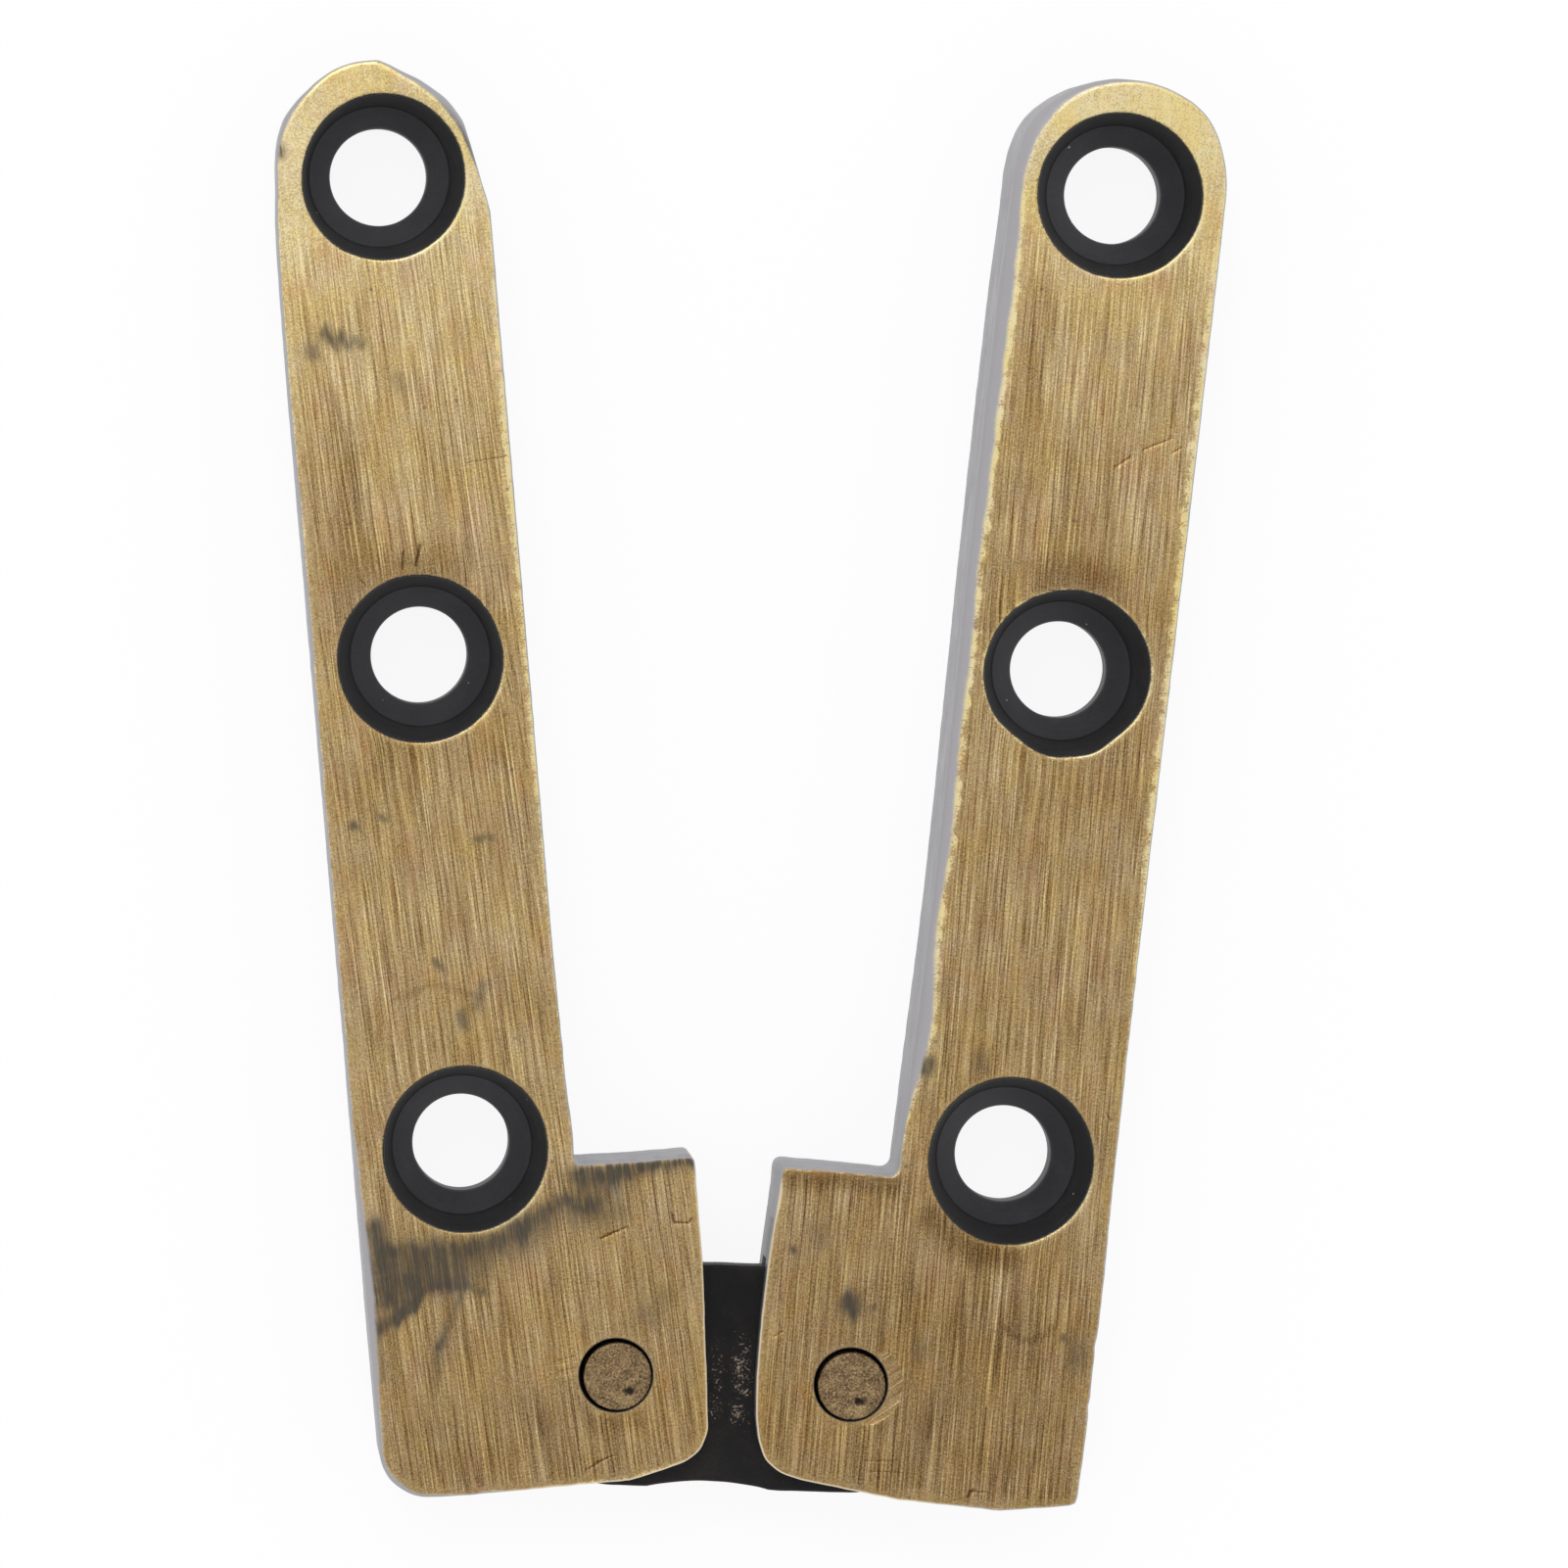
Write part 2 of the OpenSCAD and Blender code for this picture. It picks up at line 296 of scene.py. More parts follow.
FIXED_MARKS = {
    "facets": (
        ((0.4, -5.44), (3.1, -4.8)),
        ((3.1, -4.82), (3.95, -4.25)),
        ((3.95, -4.25), (4.42, -3.3)),
        ((4.42, -3.3), (4.6, 0.0)),
        ((4.6, 0.0), (4.87, 5.6)),
        ((-1.62, 60.9), (-2.42, 64.85)),
        ((-2.42, 64.85), (-3.25, 66.1)),
        ((-3.25, 66.1), (-4.45, 67.08)),
        ((-4.45, 67.08), (-6.4, 68.22)),
    ),
    "drift": (
        (-12.4, 63.4, 2.6, -0.3),
        (-12.5, 59.5, 4.0, -0.06),
        (-10.3, 67.0, 1.4, -0.14),
        (-1.4, 12.5, 2.2, 0.2),
        (-1.4, 17.0, 3.0, 0.06),
        (-10.6, -5.3, 1.6, -0.06),
        (-12.5, 4.0, 9.0, 0.05),
    ),
    "rounds": (
        (-2.4, 65.3, 2.2, 0.34),
        (-4.6, 67.3, 1.6, 0.12),
        (-11.4, 66.0, 1.8, 0.2),
        (-12.5, 5.0, 6.5, 0.34),
        (-12.5, 42.0, 9.0, 0.08),
        (-11.5, -4.5, 2.5, 0.12),
    ),
    "lean": (),
    "rubs_and_highlights": (
        (-1.46, 48.0, 9.0, 0.5),
        (-1.46, 32.0, 9.0, 0.3),
        (-5.0, 68.0, 4.0, 0.3),
        (0.5, -5.4, 3.0, 0.25),
    ),
    "smears": (
        (0.6, 0.9, ((-1.0, 10.45), (0.4, 10.4), (1.6, 10.5))),
        (0.5, 0.85, ((1.6, 10.6), (3.0, 10.65), (4.6, 10.7))),
        (0.8, 0.45, ((-0.9, 9.6), (0.4, 9.7))),
        (0.5, 0.75, ((-0.5, 8.85), (-1.5, 9.05), (-2.6, 8.95), (-3.4, 8.5), (-4.3, 7.95))),
        (0.8, 0.4, ((0.6, 8.4), (-1.2, 8.4), (-3.0, 8.1), (-4.6, 7.5))),
        (0.5, 0.6, ((-4.4, 7.75), (-5.6, 7.4), (-7.0, 7.25), (-8.4, 7.25), (-9.4, 7.3), (-11.0, 7.5))),
        (1.1, 0.42, ((-4.8, 7.2), (-7.0, 6.7), (-9.4, 6.9))),
        (0.6, 0.8, ((-11.8, 8.8), (-11.7, 7.6), (-11.5, 6.4), (-11.5, 5.0))),
        (1.5, 0.55, ((-11.4, 6.3), (-9.8, 6.3))),
        (1.3, 0.42, ((-9.4, 6.3), (-7.6, 6.4))),
        (0.6, 0.5, ((-11.8, 5.1), (-11.0, 5.2), (-10.1, 5.7))),
        (0.32, 0.9, ((-11.9, 3.5), (-11.1, 4.0), (-10.4, 4.4), (-9.6, 4.95), (-9.0, 5.35), (-8.3, 5.5))),
        (0.6, 0.4, ((-10.0, 5.4), (-9.0, 5.8), (-8.2, 5.9), (-7.2, 5.6))),
        (0.3, 0.5, ((-8.3, 5.55), (-7.7, 5.4), (-7.1, 5.1), (-6.6, 4.9))),
        (0.5, 0.8, ((-11.9, 3.5), (-11.2, 4.0), (-10.6, 4.4))),
        (0.26, 0.5, ((-7.5, 5.1), (-8.1, 4.2), (-8.6, 3.2), (-8.9, 2.3))),
        (0.4, 0.35, ((-8.9, 2.4), (-9.1, 1.5), (-9.4, 0.5))),
        (0.3, 0.4, ((-12.15, 7.0), (-12.15, 1.0))),
        (0.4, 0.7, ((-10.4, 54.5), (-10.1, 54.0))),
        (0.35, 0.65, ((-9.6, 54.4), (-9.3, 54.0))),
        (0.3, 0.65, ((-8.8, 54.3), (-8.6, 54.0))),
        (0.35, 0.6, ((-11.2, 53.8), (-11.2, 53.5))),
        (0.4, 0.35, ((-6.9, 52.0), (-6.8, 51.5))),
        (0.28, 0.7, ((-11.2, 29.4), (-11.0, 29.2))),
        (0.28, 0.6, ((-9.6, 29.7), (-9.4, 29.6))),
        (0.3, 0.55, ((-4.8, 28.4), (-4.2, 28.4))),
        (0.25, 0.6, ((-7.4, 21.9), (-7.2, 21.7))),
        (0.4, 0.45, ((-5.6, 19.6), (-5.2, 20.6))),
        (0.35, 0.6, ((-6.4, 19.1), (-6.3, 18.6))),
        (0.8, 0.3, ((1.7, 2.8), (2.7, 3.7))),
        (0.4, 0.85, ((-12.1, 64.2), (-12.1, 63.9))),
    ),
    "shades": (
        (2.2, 0.12, ((-8.6, 42.3), (-5.2, 42.2))),
        (2.4, 0.1, ((-9.0, 32.6), (-5.0, 32.4))),
        (1.4, 0.1, ((-10.4, 40.5), (-10.0, 46.0), (-10.2, 51.0))),
        (1.0, 0.12, ((-1.0, -2.4), (0.8, -2.3))),
        (0.3, 0.1, ((-9.9, 20.2), (-7.8, 21.0), (-5.4, 20.0))),
        (5.0, 0.06, ((-9.0, 67.0), (-5.0, 67.0))),
    ),
    "cuts": (
        (0.1, 0.04, -0.5, ((-0.3, 7.1), (1.0, 7.55))),
        (0.07, 0.02, -0.3, ((-0.1, 7.3), (0.6, 7.45))),
        (0.1, 0.04, -0.5, ((3.5, 8.0), (3.55, 7.6), (4.3, 7.5), (4.5, 7.75))),
        (0.09, 0.03, -0.4, ((-2.0, -4.7), (-0.9, -4.2))),
        (0.07, 0.02, -0.3, ((-1.5, -4.35), (-0.5, -4.1))),
        (0.12, 0.04, -0.5, ((-6.5, 43.4), (-6.8, 42.4))),
        (0.1, 0.03, -0.4, ((-7.4, 43.1), (-7.5, 42.3))),
        (0.07, 0.02, -0.2, ((-9.7, 41.9), (-9.4, 41.5))),
        (0.05, 0.005, -0.35, ((-3.7, 47.42), (-1.6, 47.58))),
        (0.06, 0.006, -0.2, ((-3.0, 1.05), (-2.15, 1.2))),
        (0.06, 0.006, 0.15, ((-3.1, 0.75), (-2.2, 0.9))),
        (0.06, 0.006, -0.2, ((-2.9, 0.5), (-2.1, 0.62))),
        (0.06, 0.006, 0.12, ((-2.95, 0.2), (-2.2, 0.32))),
        (0.06, 0.006, -0.15, ((-2.8, -0.1), (-2.15, 0.0))),
    ),
    "spots": (),
    "pin_hole": (-0.09, 0.005),
    "base": 0.02,
    "rim_highlight": -50,
    "lumps": (
        (2, 160, 60, -0.3),
        (2, -30, 50, 0.05),
        (1, 20, 50, -0.14),
        (1, 230, 50, 0.1),
        (0, 160, 60, -0.13),
        (0, -45, 60, 0.06),
    ),
}
MOVING_MARKS = {
    "facets": (
        ((-12.2, -5.1), (-8.5, -5.74)),
        ((-3.3, -5.76), (1.9, -5.24)),
        ((1.9, -5.24), (3.1, -5.0)),
        ((3.1, -5.0), (3.95, -4.4)),
        ((3.95, -4.4), (4.37, -3.5)),
        ((4.37, -3.5), (4.67, -2.3)),
        ((4.67, -2.3), (4.87, 0.1)),
        ((4.87, 0.1), (4.94, 2.5)),
    ),
    "drift": (
        (-10.9, 66.9, 1.8, 0.22),
        (-9.0, 68.0, 2.0, 0.06),
        (-1.9, 65.8, 1.4, 0.12),
        (-1.2, 62.0, 3.5, -0.1),
        (-1.2, 25.0, 9.0, -0.18),
        (-1.2, 36.0, 8.0, -0.07),
        (-12.36, 6.0, 3.6, 0.1),
        (-12.36, -1.0, 2.5, 0.08),
        (-12.36, 3.2, 0.35, -0.05),
        (-12.36, 0.1, 0.3, -0.05),
        (5.0, 9.6, 2.4, -0.1),
    ),
    "rounds": (
        (-1.2, 19.0, 3.6, 0.72),
        (-1.2, 28.0, 4.5, 0.48),
        (-1.2, 37.0, 6.0, 0.5),
        (-1.2, 48.0, 7.0, 0.56),
        (-1.2, 58.0, 6.0, 0.62),
        (-2.2, 65.4, 2.6, 0.6),
        (-5.0, 68.0, 2.0, 0.16),
        (5.0, 9.5, 2.0, 0.08),
    ),
    "lean": ((5.0, 9.8, 2.0, 0.08),),
    "rubs_and_highlights": (
        (-1.2, 20.0, 6.0, 0.6),
        (-1.2, 34.0, 9.0, 0.8),
        (-1.2, 50.0, 9.0, 0.9),
        (-12.3, 40.0, 14.0, 0.5),
        (-12.3, 55.0, 9.0, 0.3),
    ),
    "smears": (
        (0.6, 0.95, ((0.5, 4.25), (0.4, 3.75))),
        (0.6, 0.35, ((2.6, 7.7), (2.4, 7.2))),
        (0.22, 0.8, ((3.8, 6.5), (3.75, 6.45))),
        (0.2, 0.6, ((-0.7, 4.1), (-0.7, 4.05))),
        (0.5, 0.35, ((-3.4, 2.4), (-3.4, 2.0))),
        (0.8, 0.4, ((-11.6, 2.9), (-11.5, 2.4))),
        (0.22, 0.6, ((-10.7, 3.5), (-10.7, 3.4))),
        (0.5, 0.45, ((-4.8, 17.5), (-4.9, 17.0))),
        (0.5, 0.85, ((-2.0, 16.9), (-1.9, 16.5))),
    ),
    "shades": (
        (0.9, 0.22, ((4.3, 10.3), (3.1, 10.3), (0.9, 10.5), (-0.8, 10.5))),
        (5.5, 0.08, ((-2.5, 3.0), (-7.5, 3.0))),
        (5.0, -0.08, ((-9.0, 67.0), (-5.0, 67.0))),
        (1.3, 0.24, ((-3.3, 8.9), (-4.5, 7.9), (-5.6, 7.5), (-7.4, 7.4))),
        (0.3, 0.14, ((-7.7, 3.7), (-8.3, 3.3), (-9.0, 3.25), (-9.7, 3.5), (-10.1, 4.1))),
        (1.6, 0.18, ((-8.2, 42.5), (-6.9, 42.8), (-5.6, 42.5))),
        (1.4, 0.12, ((-3.2, 46.0), (-3.4, 52.0), (-3.2, 57.0))),
    ),
    "cuts": (
        (0.08, 0.015, 0.4, ((-7.0, 7.8), (-7.15, 5.6), (-7.1, 3.6), (-7.1, -0.4))),
        (0.1, 0.04, -0.45, ((-8.3, 48.5), (-8.9, 49.0))),
        (0.09, 0.03, -0.4, ((-9.6, 49.5), (-10.9, 50.2))),
        (0.09, 0.03, -0.35, ((-11.1, 49.5), (-11.5, 49.8))),
        (0.08, 0.02, -0.2, ((-1.2, -3.9), (-2.9, -3.7))),
        (0.08, 0.02, -0.2, ((-1.5, -4.4), (-3.0, -4.3))),
        (0.06, 0.02, -0.2, ((-1.8, -3.3), (-2.0, -4.6))),
        (0.06, 0.02, -0.2, ((-2.6, -3.3), (-2.7, -4.5))),
        (0.14, 0.05, -0.5, ((-6.7, -5.15), (-6.9, -4.8))),
        (0.08, 0.03, -0.35, ((-6.8, -4.9), (-7.6, -4.85))),
        (0.07, 0.03, -0.35, ((-11.6, 15.3), (-11.8, 15.0))),
        (0.07, 0.03, -0.35, ((4.2, 2.0), (3.8, 2.3))),
    ),
    "spots": ((-0.6, 0.02, 2.13, 0.045, 0.05, 187, 140),),
    "pin_hole": (-0.025, -0.06),
    "base": -0.02,
    "rim_highlight": -141,
    "lumps": (
        (2, 110, 60, -0.1),
        (1, 45, 50, -0.1),
        (1, 155, 50, 0.12),
        (0, 0, 60, -0.08),
        (0, 180, 50, 0.05),
        (0, -80, 60, 0.1),
        (1, -86, 14, 0.12),
        (1, -57, 14, -0.1),
        (1, -114, 12, 0.1),
        (1, -135, 12, -0.06),
    ),
}

# Marks of each pin's front end, in millimetres from its axis: the dent's place, the head's lean and the
# seed of its hammering.

FIXED_PIN_MARKS = {"dent": (0.56, -0.8), "lean": (0.0, -0.085), "seed": 3.0}
MOVING_PIN_MARKS = {"dent": (0.36, -0.8), "lean": (0.07, -0.17), "seed": 8.0}

# Wear and painted light of the leaves, in millimetres: an edge of up to the sharp rounding is linished to its
# end, the lean and the lumps of a rim reach so far in from edge and rim, and the feet's edges are bronzed in
# one area.
# The painted highlight on a rim's lit side reaches so many degrees either way. An edge without rubs still has
# the least rub, which is partly wear and partly painted highlight.

SHARP_ROUNDING = 0.22
LEAN_REACH = 2.5
RIM_REACH = 0.8
RIM_HIGHLIGHT_REACH = 45
LEAST_RUB_AND_HIGHLIGHT = 0.35
BRONZED_ACROSS = (-8.0, -3.0)
BRONZED_ALONG = (10.4, 9.6)
# The slot's walls at the link's level are painted black as shade, up to this far along the foot.
SLOT_SHADE_TOP = 8.0
FAR_FROM_EDGE = 3.0


# Plain shapes in the plane

def unit(vector):
    """Vector of the same direction and length one."""
    return vector / np.linalg.norm(vector)


def circle(centre, radius):
    """Points of a circle, in the order in which a lathed surface has its columns."""
    angles = np.linspace(-math.pi, math.pi, HOLE_COLUMNS, endpoint=False)
    return np.array(centre) + radius * np.column_stack((np.cos(angles), np.sin(angles)))


def arc_radius(width, depth):
    """Radius of a shallow arc of some width and depth."""
    return (width * width / 4 + depth * depth) / (2 * depth)


def filled(points, step, closed=True):
    """The same line, with long stretches cut into even steps."""
    ends = np.roll(points, -1, axis=0) if closed else points[1:]
    made = []
    for start, end in zip(points, ends):
        cuts = max(1, round(float(np.linalg.norm(end - start)) / step))
        made += [start + (end - start) * i / cuts for i in range(cuts)]
    if not closed:
        made.append(points[-1])
    return np.array(made)


def rounded_outline(corners, step):
    """Closed outline through corners, given as (across, along, radius), each rounded by an arc."""
    points = []
    places = [np.array(corner[:2]) for corner in corners]
    for i, corner in enumerate(places):
        radius = corners[i][2]
        before = unit(places[i - 1] - corner)
        after = unit(places[(i + 1) % len(places)] - corner)
        half = math.acos(np.clip(before @ after, -1, 1)) / 2
        centre = corner + unit(before + after) * radius / math.sin(half)
        start = corner + before * radius / math.tan(half) - centre
        end = corner + after * radius / math.tan(half) - centre
        first = math.atan2(start[1], start[0])
        sweep = math.remainder(math.atan2(end[1], end[0]) - first, 2 * math.pi)
        cuts = max(5, math.ceil(abs(sweep) * radius / step))
        angles = first + sweep * np.arange(cuts + 1) / cuts
        points.append(centre + radius * np.column_stack((np.cos(angles), np.sin(angles))))
    return filled(np.vstack(points), step)


def even_steps(outline, step):
    """The same closed outline in even steps."""
    closed = np.vstack((outline, outline[:1]))
    run = np.concatenate(((0,), np.cumsum(np.linalg.norm(np.diff(closed, axis=0), axis=1))))
    places = np.linspace(0, run[-1], round(run[-1] / step), endpoint=False)
    return np.column_stack([np.interp(places, run, column) for column in closed.T])


def faceted(outline, facets):
    """Outline with filed flats: what lies outside a flat is laid onto it, and the flats' ends are eased."""
    past_ends = 3
    easing_rounds = 8
    touched = np.zeros(len(outline), bool)
    for start, end in np.array(facets, float).reshape(-1, 2, 2):
        way = unit(end - start)
        side = np.array((way[1], -way[0]))
        over = (outline - start) @ side
        along = (outline - start) @ way
        near = (over > 0) & (along > -past_ends) & (along < np.linalg.norm(end - start) + past_ends)
        outline[near] -= over[near, None] * side
        touched |= near
    for _ in range(easing_rounds):
        eased = (np.roll(outline, 1, axis=0) + outline + np.roll(outline, -1, axis=0)) / 3
        outline[touched] = eased[touched]
    return even_steps(outline, OUTLINE_STEP)


def outward(outline):
    """Outward directions along an outline that runs anticlockwise."""
    way = np.roll(outline, -1, axis=0) - np.roll(outline, 1, axis=0)
    way /= np.linalg.norm(way, axis=1)[:, None]
    return np.column_stack((way[:, 1], -way[:, 0]))


def corner_limit(outline):
    """Widest inward offset that an outline's sharpest corners allow near each point."""
    share_of_radius = 0.8
    least_bend = 0.05
    before = outline - np.roll(outline, 1, axis=0)
    after = np.roll(outline, -1, axis=0) - outline
    turn = before[:, 0] * after[:, 1] - before[:, 1] * after[:, 0]
    size = np.linalg.norm(before, axis=1) * np.linalg.norm(after, axis=1)
    bend = np.arcsin(np.clip(turn / size, -1, 1)) / np.sqrt(size)
    bend = sum(np.roll(bend, i) for i in range(-2, 3)) / 5
    limit = share_of_radius / np.maximum(bend, least_bend)
    return np.min([np.roll(limit, i) for i in range(-3, 4)], axis=0)


def inside(points, ring):
    """Which points lie inside a closed ring."""
    x, y = points.T
    hit = np.zeros(len(points), bool)
    for (x0, y0), (x1, y1) in zip(ring, np.roll(ring, -1, axis=0)):
        if y0 != y1:
            hit ^= ((y0 > y) != (y1 > y)) & (x < (x1 - x0) * (y - y0) / (y1 - y0) + x0)
    return hit


def bump_at(points, places):
    """Sum of soft bumps, each given as (across, along, reach, height)."""
    total = np.zeros(len(points))
    for across, along, reach, height in places:
        gap = np.hypot(points[:, 0] - across, points[:, 1] - along)
        total += height * np.exp(-((gap / reach) ** 2))
    return total


def smooth(low, high, values):
    """Smooth step from 0 at low to 1 at high."""
    share = np.clip((np.asarray(values) - low) / (high - low), 0, 1)
    return share * share * (3 - 2 * share)


def gap_to_stroke(points, places):
    """Distance of each point from a line through some places."""
    nearest = np.full(len(points), np.inf)
    places = np.array(places, float)
    for start, end in zip(places[:-1], places[1:]):
        way = end - start
        share = np.clip(((points - start) @ way) / (way @ way), 0, 1)
        nearest = np.minimum(nearest, np.linalg.norm(points - start - share[:, None] * way, axis=1))
    return nearest


def nearest(points, targets):
    """Distance of each point from the nearest target, and that target's number."""
    tree = kdtree.KDTree(len(targets))
    for i, target in enumerate(targets):
        tree.insert((*target, 0), i)
    tree.balance()
    found = [tree.find((*point, 0)) for point in points]
    return np.array([f[2] for f in found]), np.array([f[1] for f in found])


def ripple(points, size, seed):
    """Soft noise between -1 and 1 at flat points, of one size in millimetres."""
    return np.array([noise.noise((x / size, y / size, seed)) for x, y in points])


def even_points(ring, holes, kept, step):
    """Evenly spread points inside a ring and outside its holes, clear of points that are kept."""
    clearance = 0.65 * step
    low, high = ring.min(axis=0), ring.max(axis=0)
    rows = np.arange(low[1], high[1], step * math.sqrt(3) / 2)
    columns = np.arange(low[0], high[0], step)
    x, y = np.meshgrid(columns, rows)
    x[1::2] += step / 2
    points = np.column_stack((x.ravel(), y.ravel()))
    points = points[inside(points, ring)]
    for hole in holes:
        points = points[~inside(points, hole)]
    return points[nearest(points, kept)[0] > clearance]


NO_POINTS = np.zeros((0, 2))


class Skin:
    """Points and faces of one closed piece, in millimetres."""

    def __init__(self):
        self.points = np.zeros((0, 3))
        self.faces = []
        self.finishes = []

    def row(self, flat, height):
        """Adds a row of points at a height, and gives their numbers."""
        flat = np.asarray(flat, float).reshape(-1, 2)
        added = np.column_stack((flat, np.broadcast_to(height, len(flat))))
        first = len(self.points)
        self.points = np.vstack((self.points, added))
        return np.arange(first, first + len(flat))

    def flat(self, row):
        """Places of a row in the plane."""
        return self.points[row, :2]

    def add(self, faces, finish):
        """Adds faces that share a finish."""
        self.faces += [tuple(map(int, face)) for face in faces]
        self.finishes += [finish] * len(faces)

    def band(self, low, high, finish, closed=True, skip=range(0)):
        """Joins two rows by a band of four-sided faces, and leaves out the skipped ones."""
        count = len(low) if closed else len(low) - 1
        places = [i for i in range(count) if i not in skip]
        faces = [(low[i], low[(i + 1) % len(low)], high[(i + 1) % len(low)], high[i]) for i in places]
        self.add(faces, finish)

    def cap(self, ring, holes, inner, height, finish):
        """Fills a ring up to its holes with triangles over some inner points."""
        rings = [ring, *holes]
        numbers = np.concatenate((*rings, self.row(inner, height)))
        places = self.flat(numbers)
        edges = []
        first = 0
        for border in rings:
            count = len(border)
            edges += [(first + i, first + (i + 1) % count) for i in range(count)]
            first += count
        made = geometry.delaunay_2d_cdt([Vector(p) for p in places], edges, [], 0, 1e-7)
        lost = [tuple(place) for place, origins in zip(made[0], made[3]) if not origins]
        if lost:
            raise RuntimeError(f"the rings of a flat face cross each other near {lost}")
        origin = np.array([origins[0] for origins in made[3]])
        triangles = origin[np.array(made[2])]
        middles = places[triangles].mean(axis=1)
        keep = inside(middles, self.flat(ring))
        for hole in holes:
            keep &= ~inside(middles, self.flat(hole))
        self.add(numbers[triangles[keep]], finish)

    def fill(self, ring, holes, step, height, finish, support=NO_POINTS):
        """Fills a ring up to its holes over evenly spread points, and over points of support."""
        flat_ring = self.flat(ring)
        flat_holes = [self.flat(hole) for hole in holes]
        spread = even_points(flat_ring, flat_holes, np.vstack((flat_ring, *flat_holes, support)), step)
        self.cap(ring, holes, np.vstack((support, spread)), height, finish)

    def mesh(self, name):
        """Makes a mesh, in metres, without the points that no face uses."""
        used = np.unique(np.concatenate([np.array(face) for face in self.faces]))
        renumber = np.zeros(len(self.points), int)
        renumber[used] = np.arange(len(used))
        made = bpy.data.meshes.new(name)
        faces = [tuple(renumber[list(face)]) for face in self.faces]
        made.from_pydata(self.points[used] * MM, [], faces)
        made.polygons.foreach_set("material_index", self.finishes)
        return made


# Node trees

class Tree:
    """Short ways to add and join nodes in one tree."""

    def __init__(self, tree):
        self.tree = tree

    def add(self, kind, sockets=(), **settings):
        """Adds a node with its settings and its inputs' values or links."""
        made = self.tree.nodes.new(kind)
        for name, value in settings.items():
            setattr(made, name, value)
        for key, value in dict(sockets).items():
            if isinstance(value, bpy.types.NodeSocket):
                self.tree.links.new(value, made.inputs[key])
            else:
                made.inputs[key].default_value = value
        return made

    def math(self, operation, *values):
        """Result of a sum on values."""
        return self.add("ShaderNodeMath", enumerate(values), operation=operation).outputs[0]

    def total(self, *values):
        """Sum of several values."""
        result = values[0]
        for value in values[1:]:
            result = self.math("ADD", result, value)
        return result

    def times(self, *values):
        """Product of several values."""
        result = values[0]
        for value in values[1:]:
            result = self.math("MULTIPLY", result, value)
        return result

    def span(self, value, low, high, start=0.0, end=1.0, soft=True):
        """Maps a value from low..high to start..end, held at both ends."""
        made = self.add(
            "ShaderNodeMapRange",
            {"Value": value, "From Min": low, "From Max": high, "To Min": start, "To Max": end},
            interpolation_type="SMOOTHSTEP" if soft else "LINEAR")
        return made.outputs[0]

    def mix(self, share, first, second, blend="MIX"):
        """Mix of two colours."""
        sockets = {0: share, 6: first, 7: second}
        return self.add("ShaderNodeMix", sockets, data_type="RGBA", blend_type=blend).outputs[2]

    def filled(self, group, sockets):
        """Adds a node group with its inputs, and gives its outputs."""
        return self.add("ShaderNodeGroup", sockets, node_tree=group).outputs

    def feed(self, shader, name, value):
        """Lets a value feed one input of a shader."""
        self.tree.links.new(value, shader.inputs[name])

    def vectors(self, operation, sockets, output=0):
        """Result of a sum on vectors."""
        return self.add("ShaderNodeVectorMath", sockets, operation=operation).outputs[output]

    def scaled(self, vector, scale):
        """Vector with each part multiplied."""
        return self.vectors("MULTIPLY", {0: vector, 1: scale})

    def noise(self, vector, scale, detail, roughness):
        """Soft noise about 0, of about half a unit either way."""
        made = self.add(
            "ShaderNodeTexNoise",
            {"Vector": vector, "Scale": scale, "Detail": detail, "Roughness": roughness})
        return self.math("SUBTRACT", made.outputs[0], 0.5)

    def streaks(self, vector, cells, detail, roughness):
        """Soft noise about 0, with its own number of cells along each axis."""
        return self.noise(self.scaled(vector, cells), 1.0, detail, roughness)

    def attribute(self, name):
        """Value that the mesh carries."""
        return self.add("ShaderNodeAttribute", attribute_name=name).outputs["Fac"]

    def ramp(self, value, stops):
        """Colour ramp through stops, each a place and a colour."""
        made = self.add("ShaderNodeValToRGB", {0: value})
        points = made.color_ramp.elements
        for _ in range(len(stops) - len(points)):
            points.new(0.5)
        for point, (place, shade) in zip(points, stops):
            point.position = place
            point.color = shade
        return made.outputs[0]

    def polar(self, angle, radius, height):
        """Place at an angle, radius and height."""
        x = self.times(self.math("COSINE", angle), radius)
        y = self.times(self.math("SINE", angle), radius)
        return self.add("ShaderNodeCombineXYZ", {0: x, 1: y, 2: height}).outputs[0]

    def closed(self, grid, place):
        """Grid bent into place, with the points that meet joined."""
        bent = self.add("GeometryNodeSetPosition", {"Geometry": grid, "Position": place})
        sockets = {"Geometry": bent.outputs[0], "Distance": MERGE_GAP * MM}
        return self.add("GeometryNodeMergeByDistance", sockets)

    def result(self, made, material, socket):
        """Ends a Geometry Nodes tree with real geometry in its finish, and gives the tree."""
        real = self.add("GeometryNodeRealizeInstances", {0: made.outputs[0]})
        finished = self.add("GeometryNodeSetMaterial", {"Geometry": real.outputs[0], "Material": material})
        self.tree.links.new(finished.outputs[0], socket)
        return self.tree


def new_group(name, kind, inputs, outputs):
    """Node group with named sockets, given as pairs of name and kind."""
    group = bpy.data.node_groups.new(name, kind)
    for socket, socket_kind in inputs:
        group.interface.new_socket(name=socket, in_out="INPUT", socket_type=socket_kind)
    for socket, socket_kind in outputs:
        group.interface.new_socket(name=socket, in_out="OUTPUT", socket_type=socket_kind)
    tree = Tree(group)
    return tree, tree.add("NodeGroupInput").outputs, tree.add("NodeGroupOutput").inputs


